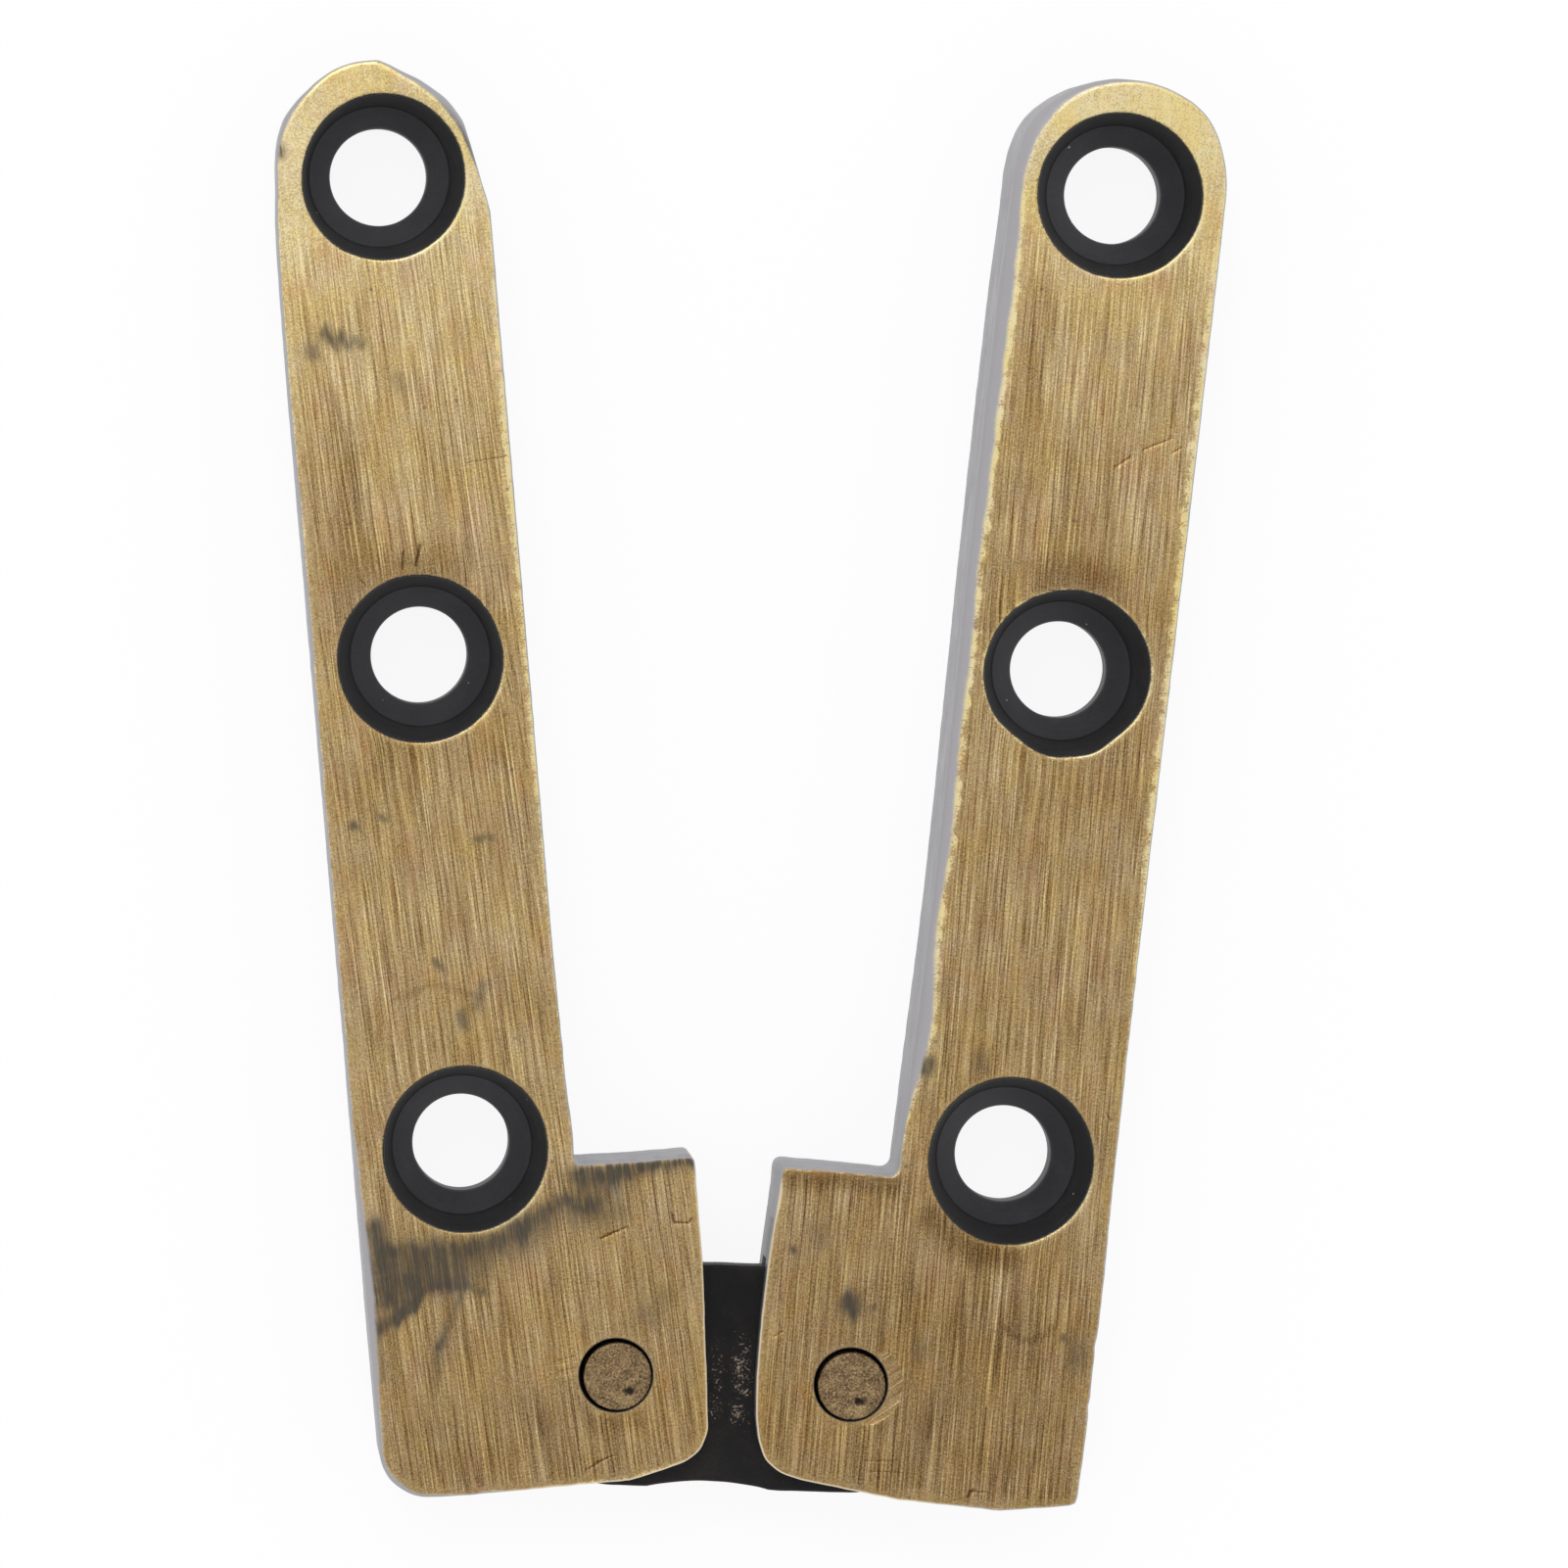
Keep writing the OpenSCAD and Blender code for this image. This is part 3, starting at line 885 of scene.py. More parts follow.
def lathe_grid(tree, columns, rows):
    """Grid to be bent into a lathed surface, with its angle and its share of the way down."""
    grid = tree.add(
        "GeometryNodeMeshGrid",
        {"Size X": 2 * math.pi, "Size Y": 1.0, "Vertices X": columns + 1, "Vertices Y": rows + 1})
    place = tree.add("GeometryNodeInputPosition").outputs[0]
    parts = tree.add("ShaderNodeSeparateXYZ", {0: place}).outputs
    return grid.outputs["Mesh"], parts[0], tree.math("ADD", parts[1], 0.5)


def countersink_tree():
    """Geometry Nodes tree that sinks one screw hole at each point of a mesh."""
    floats = ("Rim", "Lip", "Seat", "Seat depth", "Cone depth", "Bore", "Thickness")
    inputs = [("Points", "NodeSocketGeometry"), *((name, "NodeSocketFloat") for name in floats)]
    inputs.append(("Finish", "NodeSocketMaterial"))
    tree, given, result = new_group(
        "Countersunk holes", "GeometryNodeTree", inputs, [("Holes", "NodeSocketGeometry")])
    grid, angle, down = lathe_grid(tree, HOLE_COLUMNS, HOLE_ROWS)
    lip, wall, cone, bore = (
        tree.span(down, low, high, soft=False)
        for low, high in ((0, 0.125), (0.125, 0.45), (0.45, 0.75), (0.75, 1)))

    def step(share, start, end):
        return tree.times(share, tree.math("SUBTRACT", end, start))

    radius = tree.total(
        given["Rim"], tree.times(given["Lip"], tree.math("SUBTRACT", 1.0, lip)),
        step(wall, given["Rim"], given["Seat"]), step(cone, given["Seat"], given["Bore"]))
    depth = tree.total(
        tree.times(lip, lip, given["Lip"]), step(wall, given["Lip"], given["Seat depth"]),
        step(cone, given["Seat depth"], given["Cone depth"]),
        step(bore, given["Cone depth"], given["Thickness"]))
    place = tree.polar(angle, radius, tree.math("SUBTRACT", given["Thickness"], depth))
    hole = tree.closed(grid, place)
    set_out = tree.add(
        "GeometryNodeInstanceOnPoints", {"Points": given["Points"], "Instance": hole.outputs[0]})
    return tree.result(set_out, given["Finish"], result["Holes"])


def pin_tree():
    """Geometry Nodes tree that turns one pin and hammers its front end."""
    floats = ("Radius", "Low", "High", "Rim round", "Pit depth", "Pit size", "Dent radius", "Dent depth")
    inputs = [("Axis", "NodeSocketGeometry"), *((name, "NodeSocketFloat") for name in floats)]
    inputs += [(name, "NodeSocketVector") for name in ("Centre", "Dent place", "Lean")]
    inputs += [("Seed", "NodeSocketFloat"), ("Finish", "NodeSocketMaterial")]
    tree, given, result = new_group(
        "Hammered pin", "GeometryNodeTree", inputs, [("Pin", "NodeSocketGeometry")])
    grid, angle, up = lathe_grid(tree, PIN_COLUMNS, PIN_ROWS)
    back, back_rim, wall, front_rim, front = (
        tree.span(up, low, high, soft=False)
        for low, high in ((0, 0.25), (0.25, 0.3125), (0.3125, 0.4375), (0.4375, 0.5), (0.5, 1)))
    back_turn, front_turn = (tree.times(rim, math.pi / 2) for rim in (back_rim, front_rim))
    face = tree.math("SUBTRACT", given["Radius"], given["Rim round"])
    bow = tree.math(
        "SUBTRACT", tree.math("SINE", back_turn),
        tree.math("SUBTRACT", 1.0, tree.math("COSINE", front_turn)))
    radius = tree.total(
        tree.times(face, tree.math("SUBTRACT", back, front)), tree.times(given["Rim round"], bow))
    rise = tree.total(
        tree.math("SUBTRACT", 1.0, tree.math("COSINE", back_turn)), tree.math("SINE", front_turn))
    barrel = tree.total(
        tree.math("SUBTRACT", given["High"], given["Low"]), tree.times(given["Rim round"], -2.0))
    height = tree.total(given["Low"], tree.times(given["Rim round"], rise), tree.times(wall, barrel))
    marked = tree.closed(grid, tree.polar(angle, radius, height))

    here = tree.add("GeometryNodeInputPosition").outputs[0]
    level = tree.add("ShaderNodeSeparateXYZ", {0: here}).outputs[2]
    on_front = tree.span(level, tree.math("SUBTRACT", given["High"], given["Rim round"]), given["High"])
    cells = tree.math("DIVIDE", 1.0, given["Pit size"])
    shift = tree.add("ShaderNodeCombineXYZ", {axis: given["Seed"] for axis in range(3)}).outputs[0]
    spread = tree.vectors("ADD", {0: tree.vectors("SCALE", {0: here, "Scale": cells}), 1: shift})
    pits = tree.span(tree.noise(spread, 1.0, 3.0, 0.6), -0.2, 0.25)
    from_dent = tree.scaled(tree.vectors("SUBTRACT", {0: here, 1: given["Dent place"]}), (1.0, 1.6, 0.0))
    gap = tree.vectors("LENGTH", {0: from_dent}, "Value")
    torn = tree.times(tree.noise(spread, 1.7, 2.0, 0.6), given["Dent radius"], 1.6)
    dent = tree.span(tree.math("ADD", gap, torn), given["Dent radius"], 0.0)
    sunk = tree.total(tree.times(pits, given["Pit depth"]), tree.times(dent, given["Dent depth"]))
    drop = tree.add("ShaderNodeCombineXYZ", {2: tree.times(on_front, sunk, -1.0)}).outputs[0]
    beside_dent = (0.1 * MM, 0.8 * MM, 0.0)
    from_polish = tree.vectors("LENGTH", {0: tree.vectors("ADD", {0: from_dent, 1: beside_dent})}, "Value")
    polish = tree.span(from_polish, 0.9 * MM, 0.2 * MM)
    for name, value in (("dent", dent), ("polish", polish)):
        marked = tree.add(
            "GeometryNodeStoreNamedAttribute",
            {"Geometry": marked.outputs[0], "Name": name, "Value": tree.times(on_front, value)},
            data_type="FLOAT", domain="POINT")
    hammered = tree.add("GeometryNodeSetPosition", {"Geometry": marked.outputs[0], "Offset": drop})
    bent_share = tree.span(level, tree.times(given["High"], 0.7), given["High"])
    aside = tree.vectors("SCALE", {0: given["Lean"], "Scale": bent_share})
    leaning = tree.add("GeometryNodeSetPosition", {"Geometry": hammered.outputs[0], "Offset": aside})
    moved = tree.add(
        "GeometryNodeTransform", {"Geometry": leaning.outputs[0], "Translation": given["Centre"]})
    return tree.result(moved, given["Finish"], result["Pin"])


def grown(tree, start, values):
    """Plain mesh that a Geometry Nodes tree grows from a starting mesh."""
    worker = bpy.data.objects.new("worker", start)
    bpy.context.scene.collection.objects.link(worker)
    modifier = worker.modifiers.new("grow", "NODES")
    modifier.node_group = tree
    for socket in tree.interface.items_tree:
        if socket.in_out == "INPUT" and socket.name in values:
            modifier[socket.identifier] = values[socket.name]
    evaluated = worker.evaluated_get(bpy.context.evaluated_depsgraph_get())
    made = bpy.data.meshes.new_from_object(evaluated)
    worker.modifiers.clear()
    bpy.data.objects.remove(worker)
    return made


# Patterns of the finishes: cells to the millimetre, across and along the brush lines

FINE_LINES = (8.5, 0.14, 1)
HAIR_LINES = (14.0, 0.26, 1)
SCORED_LINES = (17.0, 0.07, 1)
BROAD_LINES = (1.3, 0.06, 1)
SMEAR_STREAKS = (3.4, 0.3, 1)
TINT_PATCHES = (0.6, 0.3, 1)
HUE_CLOUDS = (0.33, 0.2, 1)
TURNING_RINGS = (7.0, 0.5, 1)
TONE_PATCHES = 0.3
RAGGED_EDGES = 1.4
SPECKLES = 3.6
EDGE_SPECKS = 4.2
STIPPLES = 9.5

# Where the brass changes along the arm, in millimetres from the pin. Towards the tips the face turns lighter
# and at the feet darker, partly the brass's own tone and partly painted light and shade.

STIPPLED_TIP = (58.0, 61.5)
ARM_TONE_AND_PAINTED_LIGHT = (40.0, 69.0)
FOOT_TONE_AND_PAINTED_SHADE = (20.0, -8.0)

# Angle between the two brushings

SECOND_BRUSHING = math.radians(0.9)


# Finishes

def specks_group():
    """Sparse round specks: a mask of dots in some of the cells of a fine pattern."""
    name = "Specks"
    if name in bpy.data.node_groups:
        return bpy.data.node_groups[name]
    inputs = [("Place", "NodeSocketVector"), ("Cells", "NodeSocketFloat"),
              ("Size", "NodeSocketFloat"), ("Share", "NodeSocketFloat")]
    tree, given, result = new_group(name, "ShaderNodeTree", inputs, [("Mask", "NodeSocketFloat")])
    cells = tree.add("ShaderNodeTexVoronoi", {"Vector": given["Place"], "Scale": given["Cells"]})
    lot = tree.add("ShaderNodeSeparateXYZ", {0: cells.outputs["Color"]}).outputs
    reach = tree.times(given["Size"], tree.total(lot[1], 0.4))
    dot = tree.span(cells.outputs["Distance"], reach, tree.times(reach, 0.5))
    chosen = tree.math("LESS_THAN", lot[0], given["Share"])
    tree.tree.links.new(tree.times(dot, chosen), result["Mask"])
    return tree.tree


def patina_group():
    """Black patina: its cloudiness and its fine grain."""
    name = "Patina"
    if name in bpy.data.node_groups:
        return bpy.data.node_groups[name]
    inputs = [("Place", "NodeSocketVector"), ("Patina", "NodeSocketColor"), ("Worn", "NodeSocketColor")]
    outputs = [("Color", "NodeSocketColor"), ("Grain", "NodeSocketFloat")]
    tree, given, result = new_group(name, "ShaderNodeTree", inputs, outputs)
    clouds = tree.noise(given["Place"], 420.0, 4.0, 0.6)
    grain = tree.noise(given["Place"], 5200.0, 2.0, 0.6)
    share = tree.span(tree.total(clouds, tree.times(grain, 0.5)), -0.2, 0.4)
    tree.tree.links.new(tree.mix(share, given["Patina"], given["Worn"]), result["Color"])
    tree.tree.links.new(grain, result["Grain"])
    return tree.tree


def new_material(name):
    """Material with its tree and its Principled shader."""
    material = bpy.data.materials.new(name)
    material.use_nodes = True
    tree = Tree(material.node_tree)
    shader = material.node_tree.nodes["Principled BSDF"]
    return material, tree, shader


def bump(tree, shader, height, depth, strength):
    """Fine relief on a shader, of a depth in metres."""
    relief = tree.add("ShaderNodeBump", {"Strength": strength, "Distance": depth, "Height": height})
    tree.feed(shader, "Normal", relief.outputs[0])


def satin_patina(colours):
    """Satin grey patina of the sides and backs, lightened partly as painted reflection, stained where the
    front's stains run over the edge, and painted black as shade in the slot beside the link.
    """
    material, tree, shader = new_material("satin_patina")
    place = tree.add("ShaderNodeTexCoord").outputs["Object"]
    patina = tree.filled(patina_group(), {"Place": place, "Patina": colours.side, "Worn": colours.side_worn})
    stain = tree.total(tree.attribute("smear"), tree.times(patina["Grain"], 0.6))
    shade = tree.mix(tree.span(stain, 0.45, 1.1, 0.0, 0.6), patina["Color"], colours.tarnish)
    # Painted shade: black in the slot beside the link.
    shade = tree.mix(tree.attribute("sunk"), shade, colours.sunk)
    tree.feed(shader, "Base Color", shade)
    tree.feed(shader, "Roughness", tree.span(patina["Grain"], -0.3, 0.3, 0.34, 0.46))
    bump(tree, shader, patina["Grain"], 0.00001, 0.5)
    return material


def hole_black(colours):
    """Black countersinks, with the cones a lighter, bluer black than the walls as painted sheen, fine turning
    rings, a painted shade line in the crease between wall and cone, and a little dust.
    """
    material, tree, shader = new_material("hole_black")
    place = tree.add("ShaderNodeTexCoord").outputs["Object"]
    turned = tree.add("ShaderNodeUVMap", uv_map="brush").outputs[0]
    on_wall = tree.attribute("sunk")
    wall = tree.filled(patina_group(), {"Place": place, "Patina": colours.sunk, "Worn": colours.sunk_worn})
    cone = tree.filled(patina_group(), {"Place": place, "Patina": colours.cone, "Worn": colours.cone_worn})
    rings = tree.streaks(turned, TURNING_RINGS, 3.0, 0.6)
    # Painted shade: a dark line in the crease between wall and cone.
    ledge_shade = tree.times(on_wall, tree.math("SUBTRACT", 1.0, on_wall), 2.4)
    # The cones are lighter than the walls as painted sheen.
    shade = tree.mix(on_wall, cone["Color"], wall["Color"])
    shade = tree.mix(tree.times(tree.span(rings, 0.0, 0.25), 0.3), shade, colours.cone_worn)
    shade = tree.mix(ledge_shade, shade, colours.link)
    dust = tree.filled(specks_group(), {"Place": place, "Cells": 900.0, "Size": 0.06, "Share": 0.14})
    shade = tree.mix(dust[0], shade, colours.dust)
    tree.feed(shader, "Base Color", shade)
    tree.feed(shader, "Roughness", tree.span(rings, -0.2, 0.2, 0.5, 0.6))
    tree.feed(shader, "Coat Weight", tree.span(on_wall, 0.6, 0.0, 0.0, 0.35))
    shader.inputs["Coat Roughness"].default_value = 0.35
    shader.inputs["Specular IOR Level"].default_value = 0.03
    bump(tree, shader, tree.total(rings, tree.times(wall["Grain"], 0.6)), 0.000006, 0.4)
    return material


def antique_brass(colours):
    """Front of the leaves: patina linished to brushed gold, with the marks of use, and painted light: lighter
    towards the arms' tips, darker at the feet, and highlights on edges and rims.
    """
    material, tree, shader = new_material("antique_brass")
    brush = tree.add("ShaderNodeUVMap", uv_map="brush").outputs[0]
    linished, edge_gap, shade, smear, cut, sunk, rubbed, bronzed = (
        tree.attribute(name)
        for name in ("linished", "edge_gap", "shade", "smear", "cut", "sunk", "rubbed", "bronzed"))
    along = tree.add("ShaderNodeSeparateXYZ", {0: brush}).outputs[1]
    askew = tree.add("ShaderNodeMapping", {"Vector": brush, "Rotation": (0, 0, SECOND_BRUSHING)}).outputs[0]

    fine = tree.streaks(brush, FINE_LINES, 3.0, 0.7)
    hair = tree.streaks(askew, HAIR_LINES, 2.0, 0.6)
    broad = tree.streaks(brush, BROAD_LINES, 2.0, 0.5)
    scores = tree.streaks(askew, SCORED_LINES, 1.0, 0.5)
    patches = tree.noise(brush, TONE_PATCHES, 4.0, 0.62)
    stipple = tree.noise(brush, STIPPLES, 2.0, 0.7)
    ragged = tree.noise(brush, RAGGED_EDGES, 3.0, 0.6)

    border = tree.span(tree.total(edge_gap, tree.times(ragged, 1.4)), 0.75, 0.1)
    tip = tree.span(tree.total(along, tree.times(ragged, 3.0)), *STIPPLED_TIP)
    border = tree.math("MAXIMUM", border, tip)
    lines = tree.total(
        tree.times(fine, 1.45), tree.times(hair, 0.92), tree.times(broad, 0.1),
        tree.span(scores, 0.1, 0.26, 0.0, 0.2), tree.span(scores, -0.1, -0.26, 0.0, -0.24))
    inner = tree.math("SUBTRACT", 1.0, tree.times(border, 0.85))
    speckle = tree.times(tree.noise(brush, SPECKLES, 3.0, 0.7), tree.span(border, 0.0, 1.0, 0.25, 0.5))
    # The cut value carries the rims' painted highlights as well as the tones of scratches and spots.
    tone = tree.total(
        0.525, tree.times(lines, inner), tree.times(patches, 0.27),
        tree.times(stipple, tree.span(border, 0.0, 1.0, 1.0, 0.85)),
        # Lighter towards the arms' tips and darker at the feet: partly the brass's own tone, partly painted
        # light and shade.
        speckle, tree.times(border, 0.08), tree.span(along, *ARM_TONE_AND_PAINTED_LIGHT, 0.0, 0.3),
        tree.span(along, *FOOT_TONE_AND_PAINTED_SHADE, 0.0, -0.1), tree.times(shade, -1.0), cut)
    # Rubbed edges turn towards the pale brass, partly as wear and partly as a painted highlight.
    reach = tree.times(tree.span(rubbed, 0.3, 0.9, 0.14, 0.5), tree.total(1.0, tree.times(ragged, 2.6)))
    rub_and_highlight = tree.times(
        tree.span(edge_gap, reach, 0.02), tree.span(tree.total(stipple, ragged), -0.3, 0.12), rubbed)
    gold = tree.ramp(tree.total(tone, tree.times(rub_and_highlight, 0.8)), (
        (0.0, colours.tarnish), (0.3, colours.brown), (0.52, colours.gold),
        (0.78, colours.bright), (1.0, colours.pale)))

    clouds = tree.streaks(brush, HUE_CLOUDS, 7.0, 0.82)
    tints = tree.streaks(askew, TINT_PATCHES, 5.0, 0.75)
    greener = tree.span(tree.total(tints, stipple), -0.04, -0.26, 0.0, 0.7)
    gold = tree.mix(tree.span(clouds, -0.13, 0.13), gold, colours.golden, "MULTIPLY")
    gold = tree.mix(tree.span(tints, 0.0, 0.2, 0.0, 0.75), gold, colours.warm, "MULTIPLY")
    gold = tree.mix(greener, gold, colours.green, "MULTIPLY")
    pits = tree.filled(specks_group(), {"Place": brush, "Cells": 1.1, "Size": 0.13, "Share": 0.16})
    streaks = tree.streaks(askew, SMEAR_STREAKS, 3.0, 0.7)
    broken = tree.total(streaks, tree.times(fine, 1.8), tree.times(stipple, 0.6), tree.times(ragged, 0.3))
    olive = tree.span(tree.times(smear, tree.total(1.0, tree.times(broken, 1.4))), 0.05, 0.9, soft=False)
    olive = tree.math("MAXIMUM", olive, tree.times(pits[0], 0.55))
    gold = tree.mix(tree.times(olive, 0.9), gold, colours.smear)
    specks = tree.times(
        tree.span(tree.noise(brush, EDGE_SPECKS, 2.0, 0.7), 0.16, 0.24), tree.span(edge_gap, 0.4, 0.1))
    gold = tree.mix(tree.times(specks, 0.6), gold, colours.tarnish)

    # The rounded edges' pale bevel patina is painted sheen.
    under = tree.mix(sunk, tree.mix(bronzed, colours.bevel, colours.edge), colours.sunk)
    cover = tree.total(linished, tree.times(stipple, 0.5), tree.times(ragged, 0.4))
    bare = tree.span(cover, 0.12, 0.88)
    metal = tree.times(bare, tree.math("SUBTRACT", 1.0, tree.times(olive, 0.5)))
    rough = tree.total(0.4, tree.times(lines, 0.1), tree.times(olive, 0.12), tree.times(border, -0.04))
    tree.feed(shader, "Base Color", tree.mix(bare, under, gold))
    tree.feed(shader, "Metallic", metal)
    tree.feed(shader, "Roughness", rough)
    bump(tree, shader, tree.total(tree.times(lines, inner), tree.times(stipple, 0.7)), 0.000007, 0.6)
    return material


def flecked_black(colours):
    """Black link plate, with pale flecks in two clusters either side of its middle, where it is also lighter,
    partly as painted sheen on the flanks of its hollow.
    """
    material, tree, shader = new_material("flecked_black")
    place = tree.add("ShaderNodeTexCoord").outputs["Object"]
    centred = tree.add(
        "ShaderNodeMapping",
        {"Vector": place, "Location": (*link_middle() * MM, 0), "Rotation": (0, 0, link_turn())},
        vector_type="TEXTURE").outputs[0]
    across, along, _ = tree.add("ShaderNodeSeparateXYZ", {0: centred}).outputs
    patina = tree.filled(patina_group(), {"Place": place, "Patina": colours.link, "Worn": colours.link_worn})

    def close_to(value, middle, far, close, least=0.0):
        away = tree.math("ABSOLUTE", tree.math("SUBTRACT", value, middle * MM))
        return tree.span(away, far * MM, close * MM, least, 1.0)

    left = close_to(across, -0.8, 0.8, 0.2)
    right = close_to(across, 0.5, 0.9, 0.2)
    near = close_to(along, -0.4, 3.6, 1.2, 0.05)
    cloud = tree.span(tree.noise(place, 1300.0, 3.0, 0.65), -0.2, 0.15, 0.35, 1.0)
    fleck_clusters_and_sheen = tree.times(tree.math("MAXIMUM", tree.times(left, 0.7), right), near, cloud)
    torn = tree.noise(place, 7500.0, 3.0, 0.7)
    flecks = tree.span(tree.total(torn, tree.times(fleck_clusters_and_sheen, 0.22)), 0.2, 0.28)
    lost = tree.span(tree.noise(place, 2600.0, 2.0, 0.6), -0.15, 0.2, 0.25, 1.0)
    # Lighter either side of the middle: partly worn black, partly painted sheen on the hollow's flanks.
    shade = tree.mix(tree.times(fleck_clusters_and_sheen, 0.5), patina["Color"], colours.link_worn)
    flecks = tree.times(flecks, lost, tree.span(fleck_clusters_and_sheen, 0.0, 0.2, 0.3, 1.0))
    shade = tree.mix(flecks, shade, colours.link_fleck)
    tree.feed(shader, "Base Color", shade)
    tree.feed(shader, "Roughness", tree.span(patina["Grain"], -0.3, 0.3, 0.45, 0.65))
    shader.inputs["Specular IOR Level"].default_value = 0.2
    bump(tree, shader, patina["Grain"], 0.00003, 0.8)
    return material


def hammered_brass(colours):
    """Brown hammered brass of the pins."""
    material, tree, shader = new_material("hammered_brass")
    place = tree.add("ShaderNodeTexCoord").outputs["Object"]
    dent = tree.attribute("dent")
    warp = tree.noise(place, 1100.0, 1.0, 0.5)
    filed = []
    for angle, fineness in ((38, 4600.0), (-24, 3800.0)):
        turn = tree.total(math.radians(angle), tree.times(warp, 2.2))
        turned = tree.add("ShaderNodeVectorRotate", {"Vector": place, "Angle": turn}).outputs[0]
        waves = tree.streaks(turned, (fineness, 1900.0, 1.0), 2.0, 0.6)
        filed.append(tree.span(tree.math("ABSOLUTE", waves), 0.09, 0.0))
    mottle = tree.noise(place, 1700.0, 4.0, 0.65)
    grit = tree.noise(place, 8500.0, 2.0, 0.7)
    tone = tree.total(
        0.2, tree.times(mottle, 1.05), tree.times(filed[0], 0.4), tree.times(filed[1], 0.34),
        tree.times(grit, 1.8), tree.times(tree.attribute("polish"), 0.2))
    shade = tree.ramp(tone, ((0.05, colours.pin_dark), (0.5, colours.pin_brown), (0.95, colours.pin_light)))
    shade = tree.mix(tree.span(tree.total(dent, tree.times(mottle, 0.5)), 0.1, 0.9), shade, colours.pin_dent)
    tree.feed(shader, "Base Color", shade)
    shader.inputs["Metallic"].default_value = 0.9
    tree.feed(shader, "Roughness", tree.span(mottle, -0.3, 0.3, 0.35, 0.5))
    bump(tree, shader, tree.total(filed[0], filed[1], grit), 0.000008, 0.6)
    return material


def finish(make):
    """The material that a function makes, made once."""
    return bpy.data.materials.get(make.__name__) or make(settings().colours)


# Pieces

def settings():
    """Sizes and colours of this scene's hinge."""
    return bpy.context.scene.flap_hinge


def in_mm(group, *names):
    """Some lengths of a property group, in millimetres."""
    return [getattr(group, name) / MM for name in names]


def link_turn():
    """Angle of the line from the fixed pin to the moving pin."""
    return math.atan2(MOVING_PIVOT[1] - FIXED_PIVOT[1], MOVING_PIVOT[0] - FIXED_PIVOT[0])


def link_middle():
    """Middle between the two pins, in millimetres."""
    return (np.array(FIXED_PIVOT[:2]) + np.array(MOVING_PIVOT[:2])) / 2 / MM


class LeafPlace:
    """Where a leaf lies: its pin, the directions across and along it, and its screw holes."""

    def __init__(self, side, pivot):
        self.pin = np.array(pivot[:2]) / MM
        holes = np.array([MOUNTS[f"{side}_hole_{i}"]["pos_m"][:2] for i in (1, 2, 3)]) / MM
        self.along = unit(holes[2] - holes[0])
        offset = self.pin - holes[0]
        self.across = unit(offset - self.along * (offset @ self.along))
        self.holes = [np.array(((h - self.pin) @ self.across, (h - self.pin) @ self.along)) for h in holes]

    def matrix(self):
        """Matrix from the leaf's own frame to the hinge's frame, in metres."""
        x, y = self.across, self.along
        px, py = self.pin * MM
        return Matrix(((x[0], y[0], 0, px), (x[1], y[1], 0, py), (0, 0, 1, 0), (0, 0, 0, 1)))


def arc_rows(size, cuts):
    """Rows of a rounded edge: how far each lies in from the side, and down from the face."""
    angles = [math.pi / 2 * i / cuts for i in range(cuts + 1)]
    return [(size * (1 - math.cos(a)), size * (1 - math.sin(a))) for a in angles]


def leaf_outline(sizes, marks):
    """Outline of a leaf as its maker left it, and the rounding of its front edge at each point."""
    outer, inner, foot, bottom, top, tip = in_mm(
        sizes, "arm_outer", "arm_inner", "foot_inner", "foot_bottom", "foot_top", "tip_top")
    tip_r, outer_r, inner_r, shoulder_r, step_r, edge = in_mm(
        sizes, "tip_radius", "outer_corner", "inner_corner", "shoulder_corner", "step_fillet", "edge_round")
    corners = (
        (-outer, -bottom, outer_r), (foot, -bottom, inner_r), (foot, top, shoulder_r),
        (-inner, top, step_r), (-inner, tip, tip_r), (-outer, tip, tip_r))
    outline = faceted(rounded_outline(corners, OUTLINE_STEP), marks["facets"])
    waver = 0.02 * ripple(outline, 4.0, 3.0) + 0.02 * ripple(outline, 0.7, 7.0)
    push = bump_at(outline, marks["drift"]) + waver
    outline = outline + outward(outline) * push[:, None]
    rounding = edge * (1 + 0.35 * ripple(outline, 1.6, 11.0)) + bump_at(outline, marks["rounds"])
    return outline, np.minimum(rounding, corner_limit(outline))


